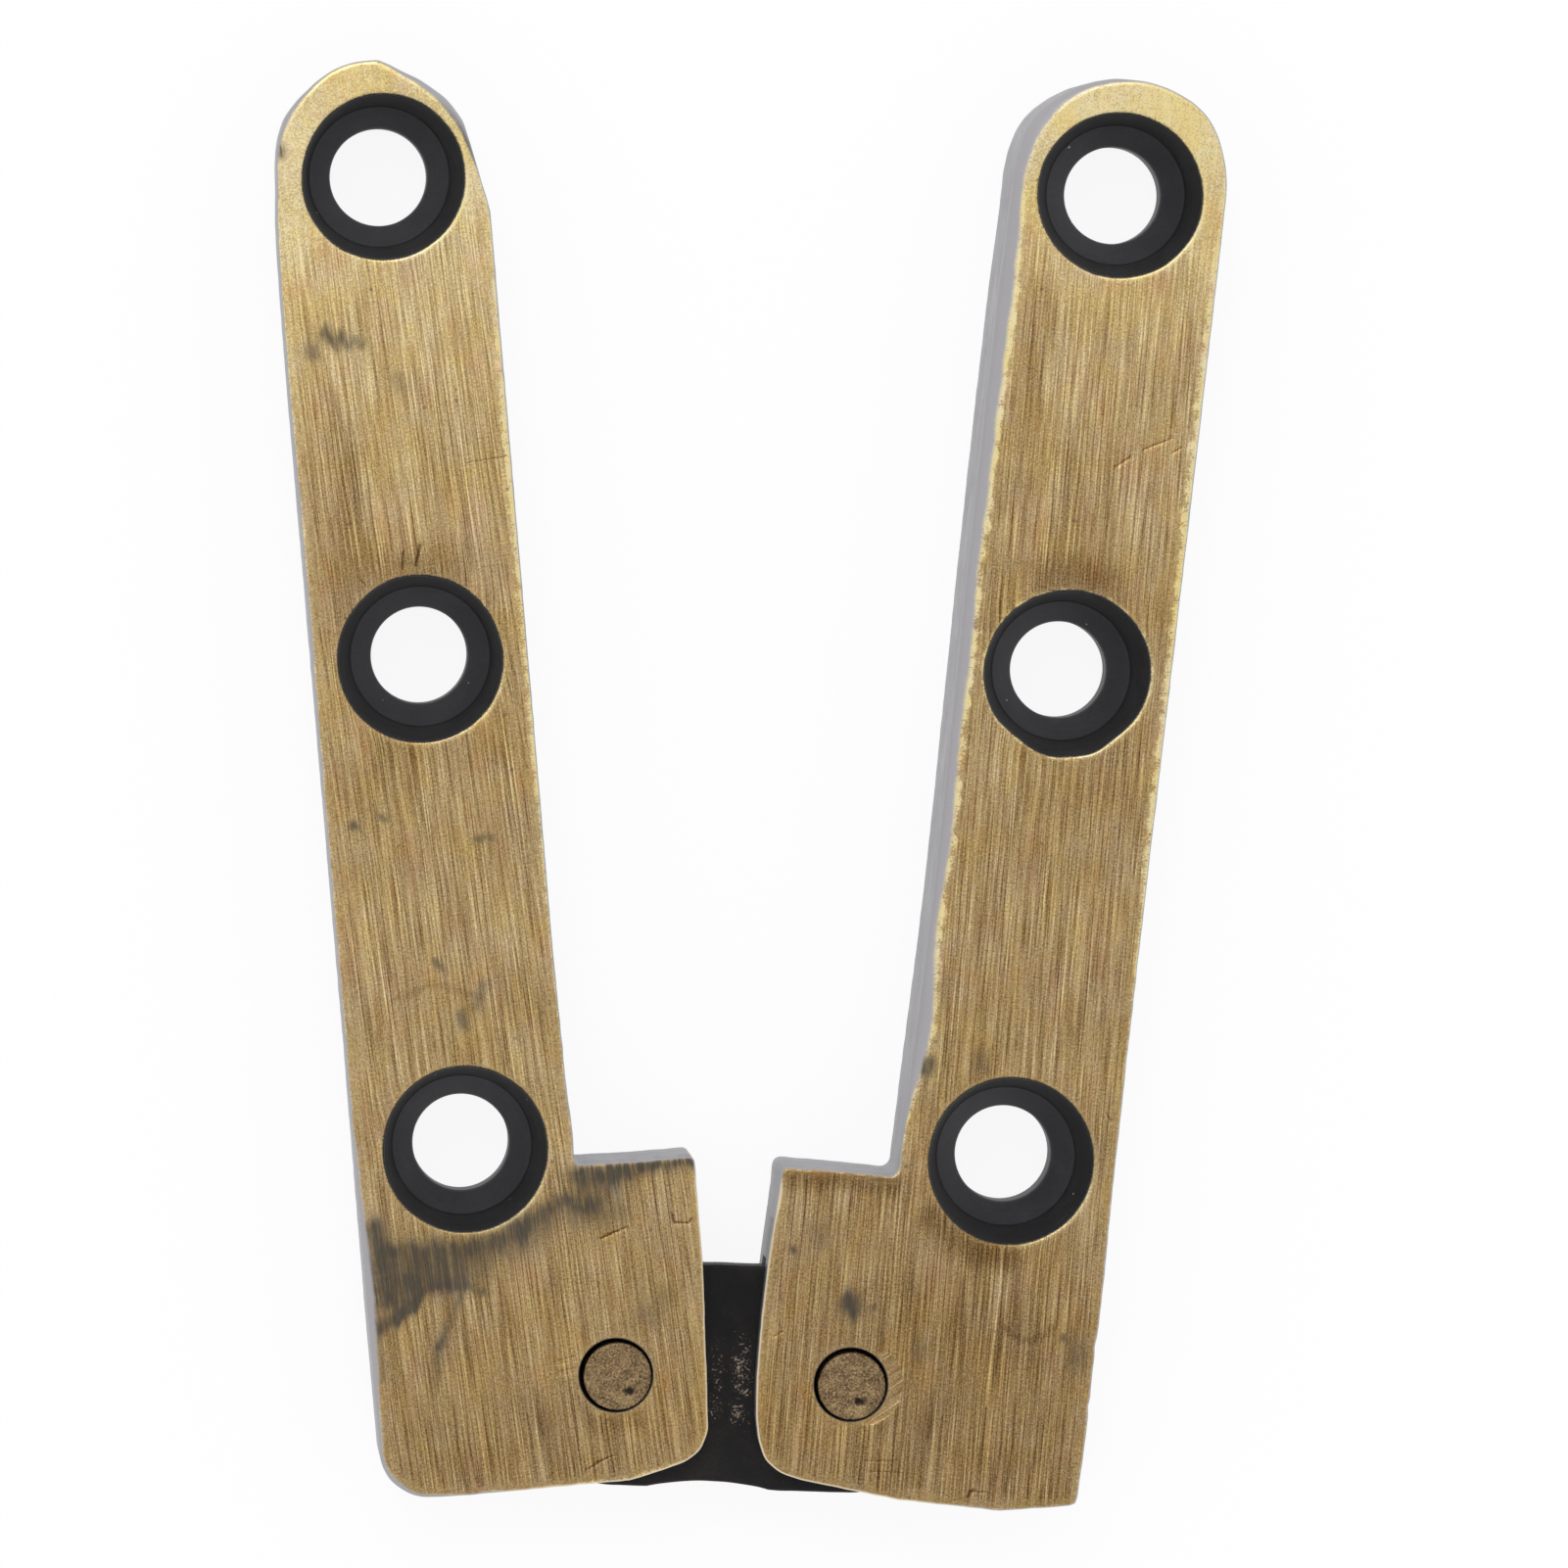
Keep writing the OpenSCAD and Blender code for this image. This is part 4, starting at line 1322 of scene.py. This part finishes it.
def leaf_skin(place, sizes, marks):
    """Closed skin of a leaf without its screw holes' walls, with its outline and rounding."""
    back_edge = 0.15
    skin = Skin()
    slot_outer, slot_top, slot_gap = in_mm(settings().holes, "slot_outer", "slot_top", "slot_gap")
    foot, bottom = in_mm(sizes, "foot_inner", "foot_bottom")
    heights = LINK_LOW.z - slot_gap, LINK_HIGH.z + slot_gap
    outline, rounding = leaf_outline(sizes, marks)
    first = int(np.argmin(np.hypot(outline[:, 0] + slot_outer, outline[:, 1] + bottom)))
    last = int(np.argmin(np.hypot(outline[:, 0] - foot, outline[:, 1] - slot_top)))
    outline[first, 0] = -slot_outer
    outline[last, 1] = slot_top
    out = outward(outline)

    back = [skin.row(outline - out * (back_edge - inset), drop)
            for inset, drop in ((0, 0), (0.6 * back_edge, 0.2 * back_edge), (back_edge, back_edge))]
    low, high = (skin.row(outline, height) for height in heights)
    front = [
        skin.row(outline - out * (rounding * inset)[:, None], LEAF_THICKNESS - 0.8 * rounding * drop)
        for inset, drop in arc_rows(1.0, EDGE_CUTS)]
    for below, above in zip(back, (*back[1:], low)):
        skin.band(below, above, SATIN)
    skin.band(low, high, SATIN, skip=range(first, last))
    skin.band(high, front[0], SATIN)
    for below, above in zip(front, front[1:]):
        skin.band(below, above, GOLD)

    corners = np.array((outline[last], (-slot_outer, slot_top), outline[first]))
    wall = filled(corners, COARSE_STEP, closed=False)[1:-1]
    mouths = low[first:last + 1], high[first:last + 1]
    back_hole, front_hole = slot_faces(skin, mouths, heights, wall, marks["pin_hole"])
    bore, = in_mm(settings().holes, "bore")
    bores = [skin.row(circle(hole, bore), 0) for hole in place.holes]
    skin.fill(back[0], [*bores, back_hole], COARSE_STEP, 0, SATIN)
    front_face(skin, place, marks, front[-1], front_hole, out)
    return skin.mesh("leaf"), outline, rounding


def slot_faces(skin, mouths, heights, wall, pin_hole):
    """Adds the slot's walls and the pin's holes in both cheeks, and gives the holes' outer rings."""
    cheek, = in_mm(settings().holes, "cheek")
    walls = [skin.row(wall, height) for height in heights]
    ends = [np.concatenate((mouth[-1:], row, mouth[:1])) for mouth, row in zip(mouths, walls)]
    skin.band(*ends, SATIN, closed=False)
    back_hole = [skin.row(circle((0, 0), PIN_DIAMETER / 2), height) for height in (0, heights[0])]
    front_hole = [
        skin.row(circle(pin_hole, cheek + PIN_HOLE_LIP * inset), LEAF_THICKNESS - drop)
        for inset, drop in ((0, LEAF_THICKNESS - heights[1]), (0, 0.07), (0.4, 0.02), (1, 0))]
    skin.band(*back_hole, SATIN)
    for below, above, kind in zip(front_hole, front_hole[1:], (BLACK, GOLD, GOLD)):
        skin.band(below, above, kind)
    for mouth, row, hole, height in zip(mouths, walls, (back_hole[-1], front_hole[0]), heights):
        skin.fill(np.concatenate((mouth, row)), [hole], COARSE_STEP, height, SATIN)
    return back_hole[0], front_hole[-1]


def front_face(skin, place, marks, ring, pin_hole, out):
    """Adds the front face, with rows of points beside its edges, holes and scratches."""
    rim, lip, cheek = in_mm(settings().holes, "rim", "lip", "cheek")
    openings = [skin.row(circle(hole, rim + lip), LEAF_THICKNESS) for hole in place.holes]
    openings.append(pin_hole)
    flat_ring = skin.flat(ring)
    borders = [flat_ring - out * gap for gap in (0.07, 0.18)]
    borders += [circle(hole, rim + lip + gap) for hole in place.holes for gap in (0.06, 0.16, 0.3)]
    borders += [circle(marks["pin_hole"], cheek + PIN_HOLE_LIP + gap) for gap in (0.05, 0.14)]
    borders += [circle(spot[:2], spot[2] + gap) for spot in marks["spots"] for gap in (-0.06, 0.0, 0.06)]
    cuts = [cut_points(width, places) for width, _, _, places in marks["cuts"]]
    support = np.vstack(borders + cuts)
    support = support[inside(support, flat_ring)]
    for hole in openings:
        support = support[~inside(support, skin.flat(hole))]
    skin.fill(ring, openings, FRONT_STEP, LEAF_THICKNESS, GOLD, support)


def cut_points(width, places):
    """Rows of points along a scratch: its bottom line and its two sides."""
    line = filled(np.array(places, float), CUT_STEP, closed=False)
    way = np.gradient(line, axis=0)
    way /= np.linalg.norm(way, axis=1)[:, None]
    side = np.column_stack((way[:, 1], -way[:, 0]))
    return np.vstack([line + side * width * share for share in (-1.0, -0.5, 0.0, 0.5, 1.0)])


def sealed(work, mesh, name):
    """Writes a closed working mesh into a mesh, with its faces outwards."""
    if any(len(edge.link_faces) != 2 for edge in work.edges):
        raise RuntimeError(f"{name} isn't closed")
    bmesh.ops.recalc_face_normals(work, faces=work.faces)
    work.to_mesh(mesh)
    work.free()


def with_countersinks(skin, place):
    """Leaf skin joined to the walls of its screw holes."""
    holes = settings().holes
    points = bpy.data.meshes.new("holes")
    points.from_pydata([(*hole * MM, 0) for hole in place.holes], [], [])
    values = {
        "Rim": holes.rim, "Lip": holes.lip, "Seat": holes.seat, "Seat depth": holes.seat_depth,
        "Cone depth": holes.cone_depth, "Bore": holes.bore, "Thickness": LEAF_THICKNESS * MM,
        "Finish": finish(hole_black)}
    walls = grown(countersink_tree(), points, values)
    lip = LEAF_THICKNESS * MM - 0.95 * holes.lip
    kinds = [GOLD if face.center.z > lip else BLACK for face in walls.polygons]
    walls.polygons.foreach_set("material_index", kinds)
    work = bmesh.new()
    work.from_mesh(skin)
    work.from_mesh(walls)
    bmesh.ops.remove_doubles(work, verts=work.verts, dist=MERGE_GAP * MM)
    sealed(work, skin, "a leaf")
    return skin


def read_each(items, name, kind, parts=1):
    """One value or more of each item of a mesh, in a row."""
    values = np.empty(len(items) * parts, kind)
    items.foreach_get(name, values)
    return values


def read_points(mesh):
    """Points of a mesh, in millimetres."""
    return read_each(mesh.vertices, "co", np.float32, 3).reshape(-1, 3).astype(float) / MM


def write_points(mesh, points):
    """Moves the points of a mesh, given in millimetres."""
    mesh.vertices.foreach_set("co", (points * MM).astype(np.float32).ravel())
    mesh.update()


def carry(mesh, name, values):
    """Lets a mesh carry one value at each point."""
    mesh.attributes.new(name, "FLOAT", "POINT").data.foreach_set("value", np.asarray(values, np.float32))


def warped(points, size, reach, seed):
    """Flat points shifted by soft noise, so that a stain's edge becomes ragged."""
    return points + reach * np.column_stack((ripple(points, size, seed), ripple(points, size, seed + 9.0)))


def off_angle(angle, middle, reach):
    """Soft bump about one angle, with its middle and reach in degrees."""
    off = np.remainder(angle - math.radians(middle) + math.pi, 2 * math.pi) - math.pi
    return np.exp(-((np.degrees(off) / reach) ** 2))


def spot_share(points, spot):
    """How much of a round sinking lies at each point: it runs out on the side away from its deep side."""
    across, along, radius, _, _, deep_side, _ = spot
    off = points - (across, along)
    share = smooth(radius + 0.06, radius - 0.06, np.hypot(*off.T))
    return share * smooth(0.1, 0.5, np.cos(np.arctan2(off[:, 1], off[:, 0]) - math.radians(deep_side)))


def rim_push(angle, lumps, number):
    """How far a countersink's rim is pushed outwards at each angle."""
    push = 0.03 * ripple(2.2 * np.column_stack((np.cos(angle), np.sin(angle))), 1.0, 20.0 + number)
    for which, middle, reach, height in lumps:
        if which == number:
            push += height * off_angle(angle, middle, reach)
    return push


def cut_marks(flat, front, marks):
    """Tone and depth that scratches, nicks, round sinkings and a slight unevenness give each point."""
    tones = np.full(len(flat), marks["base"])
    depth = np.zeros(len(flat))
    for width, deep, tone, places in marks["cuts"]:
        share = front * smooth(width, 0.0, gap_to_stroke(flat, places))
        tones += tone * share
        depth += deep * share
    for spot in marks["spots"]:
        share = front * spot_share(flat, spot)
        tones += spot[4] * share
        depth += spot[3] * share
    depth[front] += 0.012 * ripple(flat[front], 6.0, 5.0)
    return tones, depth


def stains(flat, top, marks):
    """Smears and shades at each point, with ragged edges drawn out along the brush lines."""
    smear = np.zeros(len(flat))
    shade = np.zeros(len(flat))
    ragged = warped(flat[top], 1.4, 0.2, 61.0)
    ragged[:, 1] += 0.35 * ripple(flat[top] * (2.4, 0.3), 1.0, 97.0)
    for width, strength, places in marks["smears"]:
        reach = np.exp(-((gap_to_stroke(ragged, places) / width) ** 2))
        smear[top] = 1 - (1 - smear[top]) * (1 - strength * reach)
    for width, strength, places in marks["shades"]:
        shade[top] += strength * smooth(width, 0.1 * width, gap_to_stroke(ragged, places))
    return smear, shade


def wear_leaf(mesh, place, sizes, marks, outline, rounding):
    """Gives a leaf the dents, cuts and stains of use, its painted highlights and shade, and the values that
    its finish reads.
    """
    rim, lip, cheek, seat_depth, slot_gap = in_mm(
        settings().holes, "rim", "lip", "cheek", "seat_depth", "slot_gap")
    points = read_points(mesh)
    flat = points[:, :2].copy()
    front = points[:, 2] > LEAF_THICKNESS - LEVEL_SLACK
    top = points[:, 2] > LEAF_THICKNESS / 2
    cut, depth = cut_marks(flat, front, marks)
    smear, shade = stains(flat, top, marks)

    gap = np.full(len(points), FAR_FROM_EDGE)
    linished = np.zeros(len(points))
    from_edge, numbers = nearest(flat, outline)
    bevel = np.maximum(rounding[numbers] - SHARP_ROUNDING, 0)
    start = bevel - np.minimum(0.5 * bevel, 0.15)
    width = 0.14 + np.minimum(1.2 * bevel, 0.35)
    linished[top] = smooth(0.0, 1.0, ((from_edge - start) / width)[top])
    gap[top] = np.maximum(from_edge - bevel, 0)[top]
    lean = bump_at(outline, marks["lean"])[numbers]
    draw_in = lean * smooth(LEAN_REACH, 0.0, from_edge) * points[:, 2] / LEAF_THICKNESS
    points[:, :2] -= outward(outline)[numbers] * draw_in[:, None]
    # How much each edge is brightened, partly as rubbed brass and partly as a painted highlight.
    rubbed = LEAST_RUB_AND_HIGHLIGHT + bump_at(flat, marks["rubs_and_highlights"])
    bronzed = smooth(*BRONZED_ACROSS, flat[:, 0]) * smooth(*BRONZED_ALONG, flat[:, 1])

    sunk = np.zeros(len(points))
    rim_reach = rim + RIM_REACH
    for number, hole in enumerate(place.holes):
        away = np.hypot(*(flat - hole).T)
        near = (away < rim_reach) & (points[:, 2] > LEAF_THICKNESS - seat_depth)
        angle = np.arctan2(*(flat[near] - hole).T[::-1])
        push = rim_push(angle, marks["lumps"], number)
        # Painted highlight: each rim is brightened on its lit side.
        rim_highlight = off_angle(angle, marks["rim_highlight"], RIM_HIGHLIGHT_REACH) * smooth(rim + 0.4, rim + 0.1, away[near])
        cut[near] += 0.4 * rim_highlight
        fade = smooth(LEAF_THICKNESS - seat_depth, LEAF_THICKNESS, points[near, 2])
        fade *= smooth(rim_reach, rim + lip, away[near])
        points[near, :2] += (flat[near] - hole) / away[near, None] * (push * fade)[:, None]
        linished[near] = np.minimum(linished[near], smooth(rim, rim + 1.3 * lip, away[near]))
        gap[near] = np.minimum(gap[near], 0.15 + 1.5 * np.maximum(away[near] - rim, 0))
        sunk[near] = smooth(rim_reach, rim + 0.4, away[near])
    from_pin = np.hypot(*(flat - marks["pin_hole"]).T) - cheek
    gap = np.minimum(gap, 0.2 + np.maximum(from_pin, 0))
    linished[top] = np.minimum(linished, smooth(0.0, 0.12, from_pin))[top]
    sunk[top] = np.maximum(sunk, smooth(0.4, 0.2, from_pin))[top]
    # Painted shade: the slot's walls at the link's level turn black, where the link sits between the cheeks.
    slot_shade_level = np.abs(points[:, 2] - LINK_HIGH.z - slot_gap) < LEVEL_SLACK
    sunk[slot_shade_level & (flat[:, 0] > 0) & (flat[:, 1] < SLOT_SHADE_TOP)] = 1.0
    points[:, 2] -= depth
    write_points(mesh, points)
    values = {
        "linished": linished, "edge_gap": gap, "smear": smear, "shade": shade, "cut": cut, "sunk": sunk,
        "rubbed": rubbed, "bronzed": bronzed}
    for name, value in values.items():
        carry(mesh, name, value)
    lay_brush_lines(mesh, place, sizes, marks, points, flat)


def lay_brush_lines(mesh, place, sizes, marks, points, flat):
    """Lays the finish's lines along the arm, askew in the sinkings, and round the screw holes."""
    cos, sin = math.cos(sizes.brush_turn), math.sin(sizes.brush_turn)
    brush = np.column_stack((flat @ (cos, -sin), flat @ (sin, cos)))
    loops = read_each(mesh.loops, "vertex_index", np.int32)
    finishes = read_each(mesh.polygons, "material_index", np.int32)
    sides = read_each(mesh.polygons, "loop_total", np.int32)
    middles = read_each(mesh.polygons, "center", np.float32, 3).reshape(-1, 3)[:, :2] / MM
    lines = brush[loops]
    for spot in marks["spots"]:
        turned = np.repeat((spot_share(middles, spot) > 0.5) & (finishes == GOLD), sides)
        cos, sin = math.cos(math.radians(spot[6])), math.sin(math.radians(spot[6]))
        off = flat[loops[turned]]
        lines[turned] = np.column_stack((off @ (-sin, cos), off @ (cos, sin)))
    in_hole = np.repeat(finishes, sides) == BLACK
    held = loops[in_hole]
    away = flat[held] - np.array(place.holes)[nearest(flat[held], place.holes)[1]]
    lines[in_hole] = np.column_stack(
        (np.hypot(*away.T) + 0.3 * points[held, 2], np.abs(np.arctan2(*away.T))))
    mesh.uv_layers.new(name="brush").data.foreach_set("uv", lines.astype(np.float32).ravel())


def shown(mesh, name, body, node, slot, *materials):
    """Puts a finished mesh into the scene in place of its solid."""
    for material in materials[len(mesh.materials):]:
        mesh.materials.append(material)
    mesh.polygons.foreach_set("use_smooth", [True] * len(mesh.polygons))
    mesh.set_sharp_from_angle(angle=math.radians(38))
    piece = bpy.data.objects.new(name, mesh)
    bpy.context.scene.collection.objects.link(piece)
    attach(piece, body)
    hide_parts(node)
    return piece


def build_leaf(side, pivot, sizes, marks, body, node):
    """Makes one finished leaf."""
    place = LeafPlace(side, pivot)
    mesh, outline, rounding = leaf_skin(place, sizes, marks)
    mesh = with_countersinks(mesh, place)
    wear_leaf(mesh, place, sizes, marks, outline, rounding)
    matrix = place.matrix()
    mesh.transform(matrix)
    if matrix.determinant() < 0:
        mesh.flip_normals()
    materials = [finish(make) for make in (antique_brass, satin_patina, hole_black)]
    return shown(mesh, f"{node}_finished", body, node, "leaf_brass", *materials)


def link_outline(sizes):
    """Outline of the link plate about the middle between its pins, along the line of the pins."""
    top, bottom, width, depth, offset = in_mm(
        sizes, "top", "bottom", "scallop_width", "scallop_depth", "scallop_offset")
    half = math.dist(FIXED_PIVOT, MOVING_PIVOT) / MM / 2
    drop = (bottom * bottom - top * top) / (2 * bottom)
    lobe = bottom - drop

    def arc(centre, radius, start, end):
        angles = np.radians(np.linspace(start, end, max(6, round(abs(end - start) * radius / 12))))
        return np.array(centre) + radius * np.column_stack((np.cos(angles), np.sin(angles)))

    dip = arc_radius(width, depth)
    sweep = math.degrees(math.asin(width / 2 / dip))
    scallop = arc((-offset, depth - bottom - dip), dip, 90 + sweep, 90 - sweep)
    rise = math.degrees(math.asin(drop / lobe))
    points = np.vstack((
        arc((half, 0), top, 90, 0), arc((half, -drop), lobe, rise, -90)[1:], scallop[::-1],
        arc((-half, -drop), lobe, -90, -180 - rise), arc((-half, 0), top, 180, 90)[1:]))
    return filled(points, OUTLINE_STEP)[::-1]


def build_link(sizes):
    """Makes the finished link plate."""
    only_finish = 0
    edge, hole, width, depth = in_mm(sizes, "edge_round", "hole", "hollow_width", "hollow_depth")
    half = math.dist(FIXED_PIVOT, MOVING_PIVOT) / MM / 2
    skin = Skin()
    outline = link_outline(sizes)
    outline = outline + outward(outline) * (0.03 * ripple(outline, 1.1, 31.0))[:, None]
    out = outward(outline)
    arc = arc_rows(edge, LINK_EDGE_CUTS)
    rows = [skin.row(outline - out * inset, LINK_LOW.z + drop) for inset, drop in arc[::-1]]
    rows += [skin.row(outline - out * inset, LINK_HIGH.z - drop) for inset, drop in arc]
    for below, above in zip(rows, rows[1:]):
        skin.band(below, above, only_finish)
    heights = LINK_LOW.z, LINK_HIGH.z
    pins = [skin.row(circle((x, 0), hole), height) for x in (-half, half) for height in heights]
    for below, above in (pins[:2], pins[2:]):
        skin.band(below, above, only_finish)
    for ring, holes, height in zip((rows[0], rows[-1]), (pins[0::2], pins[1::2]), heights):
        skin.fill(ring, holes, LINK_STEP, height, only_finish)
    mesh = skin.mesh("link")
    points = read_points(mesh)
    bow = arc_radius(width, depth)
    dip = np.sqrt(np.maximum(bow * bow - points[:, 0] ** 2, 0)) - (bow - depth)
    between_pins = np.abs(points[:, 0]) < half - 2.5
    dip = np.maximum(dip, 0) + 0.03 * ripple(points[:, :2], 1.2, 41.0) * between_pins
    middle = (LINK_LOW.z + LINK_HIGH.z) / 2
    points[:, 2] -= dip * (points[:, 2] - middle) / (LINK_THICKNESS / 2)
    turn = link_turn()
    matrix = np.array(((math.cos(turn), math.sin(turn)), (-math.sin(turn), math.cos(turn))))
    points[:, :2] = points[:, :2] @ matrix + link_middle()
    write_points(mesh, points)
    work = bmesh.new()
    work.from_mesh(mesh)
    sealed(work, mesh, "the link plate")
    return shown(mesh, "link_plate_finished", "link", "link_plate", "link_black", finish(flecked_black))


def build_pin(tree, node, body, pivot, marks):
    """Makes one finished pin."""
    sizes = settings().pins
    start = bpy.data.meshes.new("axis")
    start.from_pydata([(0, 0, 0)], [], [])
    brass = finish(hammered_brass)
    dent, lean = (tuple(part * MM for part in marks[name]) for name in ("dent", "lean"))
    values = {
        "Radius": PIN_DIAMETER / 2 * MM, "Low": PIN_LOW.z * MM, "High": PIN_HIGH.z * MM,
        "Rim round": sizes.rim_round, "Pit depth": sizes.pit_depth, "Pit size": sizes.pit_size,
        "Dent radius": sizes.dent_radius, "Dent depth": sizes.dent_depth,
        "Centre": (pivot[0], pivot[1], 0.0), "Dent place": (*dent, 0.0), "Lean": (*lean, 0.0),
        "Seed": marks["seed"], "Finish": brass}
    mesh = grown(tree, start, values)
    work = bmesh.new()
    work.from_mesh(mesh)
    sealed(work, mesh, node)
    return shown(mesh, f"{node}_finished", body, node, "pin_brass", brass)


# Stage

def build_floor(shadow_share):
    """White floor that keeps a little of the object's shadow."""
    mesh = bpy.data.meshes.new("floor")
    side = 3.0
    below = -0.02 * MM
    corners = ((-side, -side), (side, -side), (side, side), (-side, side))
    mesh.from_pydata([(*corner, below) for corner in corners], [], [(0, 1, 2, 3)])
    floor = bpy.data.objects.new("floor", mesh)
    bpy.context.scene.collection.objects.link(floor)
    material = bpy.data.materials.new("white_floor")
    material.use_nodes = True
    tree = Tree(material.node_tree)
    tree.tree.nodes.remove(tree.tree.nodes["Principled BSDF"])
    rays = tree.add("ShaderNodeLightPath").outputs
    seen = tree.math("MAXIMUM", rays["Is Camera Ray"], rays["Is Glossy Ray"])
    seen = tree.math("MAXIMUM", seen, rays["Is Transmission Ray"])
    matt = tree.add("ShaderNodeBsdfDiffuse", {"Color": (0.95, 0.95, 0.95, 1)})
    glow = tree.add("ShaderNodeEmission", {"Color": (1, 1, 1, 1), "Strength": 1.0})
    white = tree.add("ShaderNodeMixShader", {0: shadow_share, 1: glow.outputs[0], 2: matt.outputs[0]})
    surface = tree.add("ShaderNodeMixShader", {0: seen, 1: matt.outputs[0], 2: white.outputs[0]})
    output = tree.tree.nodes["Material Output"]
    tree.tree.links.new(surface.outputs[0], output.inputs["Surface"])
    mesh.materials.append(material)


def build_dome(top, rim):
    """Soft white dome, a little darker overhead."""
    world = bpy.data.worlds.new("dome")
    world.use_nodes = True
    bpy.context.scene.world = world
    tree = Tree(world.node_tree)
    way = tree.add("ShaderNodeTexCoord").outputs["Generated"]
    up = tree.add("ShaderNodeSeparateXYZ", {0: way}).outputs[2]
    level = tree.span(up, 0.35, 1.0, rim, top)
    sky = tree.tree.nodes["Background"]
    tree.tree.links.new(level, sky.inputs["Strength"])
    sky.inputs["Color"].default_value = (1, 1, 1, 1)


def build_camera_and_lamp(stage):
    """Camera of the picture and the soft lamp above the arms' tips."""
    scene = bpy.context.scene
    place, aim = Vector(stage.camera_place), Vector(stage.camera_aim)
    ahead = (aim - place).normalized()
    upright = Vector((math.sin(stage.camera_turn), math.cos(stage.camera_turn), 0))
    right = ahead.cross(upright).normalized()
    upright = right.cross(ahead)
    data = bpy.data.cameras.new("camera")
    data.lens = stage.lens
    data.sensor_width = 36
    camera = bpy.data.objects.new("camera", data)
    turn = Matrix((right, upright, -ahead)).transposed().to_4x4()
    camera.matrix_world = Matrix.Translation(place) @ turn
    scene.collection.objects.link(camera)
    scene.camera = camera

    lamp_data = bpy.data.lights.new("soft_lamp", "AREA")
    lamp_data.size = stage.lamp_size
    lamp_data.energy = stage.lamp_power
    lamp = bpy.data.objects.new("soft_lamp", lamp_data)
    lamp_place = Vector(stage.lamp_place)
    turn = (aim - lamp_place).to_track_quat("-Z", "Y").to_matrix().to_4x4()
    lamp.matrix_world = Matrix.Translation(lamp_place) @ turn
    scene.collection.objects.link(lamp)
    scene.view_settings.view_transform = "Standard"


# Add-on

class HINGE_OT_leaves(bpy.types.Operator):
    """Make the two brass leaves with their countersinks, slots, wear and stains"""

    bl_idname = "flap_hinge.leaves"
    bl_label = "Leaves"

    def execute(self, context):
        sizes = context.scene.flap_hinge
        build_leaf("fixed", FIXED_PIVOT, sizes.fixed, FIXED_MARKS, "fixed_leaf", "fixed_leaf")
        build_leaf("moving", MOVING_PIVOT, sizes.moving, MOVING_MARKS, "moving_leaf", "moving_leaf")
        return {"FINISHED"}


class HINGE_OT_link(bpy.types.Operator):
    """Make the black link plate"""

    bl_idname = "flap_hinge.link"
    bl_label = "Link plate"

    def execute(self, context):
        build_link(context.scene.flap_hinge.link)
        return {"FINISHED"}


class HINGE_OT_pins(bpy.types.Operator):
    """Make the two hammered pins"""

    bl_idname = "flap_hinge.pins"
    bl_label = "Pins"

    def execute(self, context):
        tree = pin_tree()
        build_pin(tree, "fixed_pin", "fixed_leaf", FIXED_PIVOT, FIXED_PIN_MARKS)
        build_pin(tree, "moving_pin", "moving_leaf", MOVING_PIVOT, MOVING_PIN_MARKS)
        return {"FINISHED"}


class HINGE_OT_stage(bpy.types.Operator):
    """Make the floor, the light and the camera"""

    bl_idname = "flap_hinge.stage"
    bl_label = "Stage"

    def execute(self, context):
        stage = context.scene.flap_hinge.stage
        build_floor(stage.shadow_share)
        build_dome(stage.dome_top, stage.dome_rim)
        build_camera_and_lamp(stage)
        return {"FINISHED"}


OPERATORS = (HINGE_OT_leaves, HINGE_OT_link, HINGE_OT_pins, HINGE_OT_stage)


class HINGE_PT_panel(bpy.types.Panel):
    """Sidebar panel that lists the pieces of the hinge"""

    bl_label = "Flap Hinge"
    bl_idname = "HINGE_PT_panel"
    bl_space_type = "VIEW_3D"
    bl_region_type = "UI"
    bl_category = "Flap Hinge"

    def draw(self, context):
        for operator in OPERATORS:
            self.layout.operator(operator.bl_idname)
        hinge = context.scene.flap_hinge
        groups = (
            hinge.fixed, hinge.moving, hinge.holes, hinge.link, hinge.pins, hinge.colours, hinge.stage)
        for group in groups:
            box = self.layout.box()
            for prop in group.bl_rna.properties:
                if not prop.is_readonly and prop.identifier != "name":
                    box.prop(group, prop.identifier)


GROUPS = (
    FixedLeafSizes, MovingLeafSizes, HoleSizes, LinkSizes, PinSizes, FinishColours, StageSizes,
    HingeSettings)
CLASSES = (*GROUPS, *OPERATORS, HINGE_PT_panel)


def register():
    """Registers the classes and the scene's settings."""
    for cls in CLASSES:
        bpy.utils.register_class(cls)
    bpy.types.Scene.flap_hinge = bpy.props.PointerProperty(type=HingeSettings)


def unregister():
    """Takes back what register did."""
    del bpy.types.Scene.flap_hinge
    for cls in reversed(CLASSES):
        bpy.utils.unregister_class(cls)


def main():
    """Registers the add-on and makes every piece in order."""
    register()
    bpy.ops.flap_hinge.leaves()
    bpy.ops.flap_hinge.link()
    bpy.ops.flap_hinge.pins()
    bpy.ops.flap_hinge.stage()


if __name__ == "__main__":
    main()
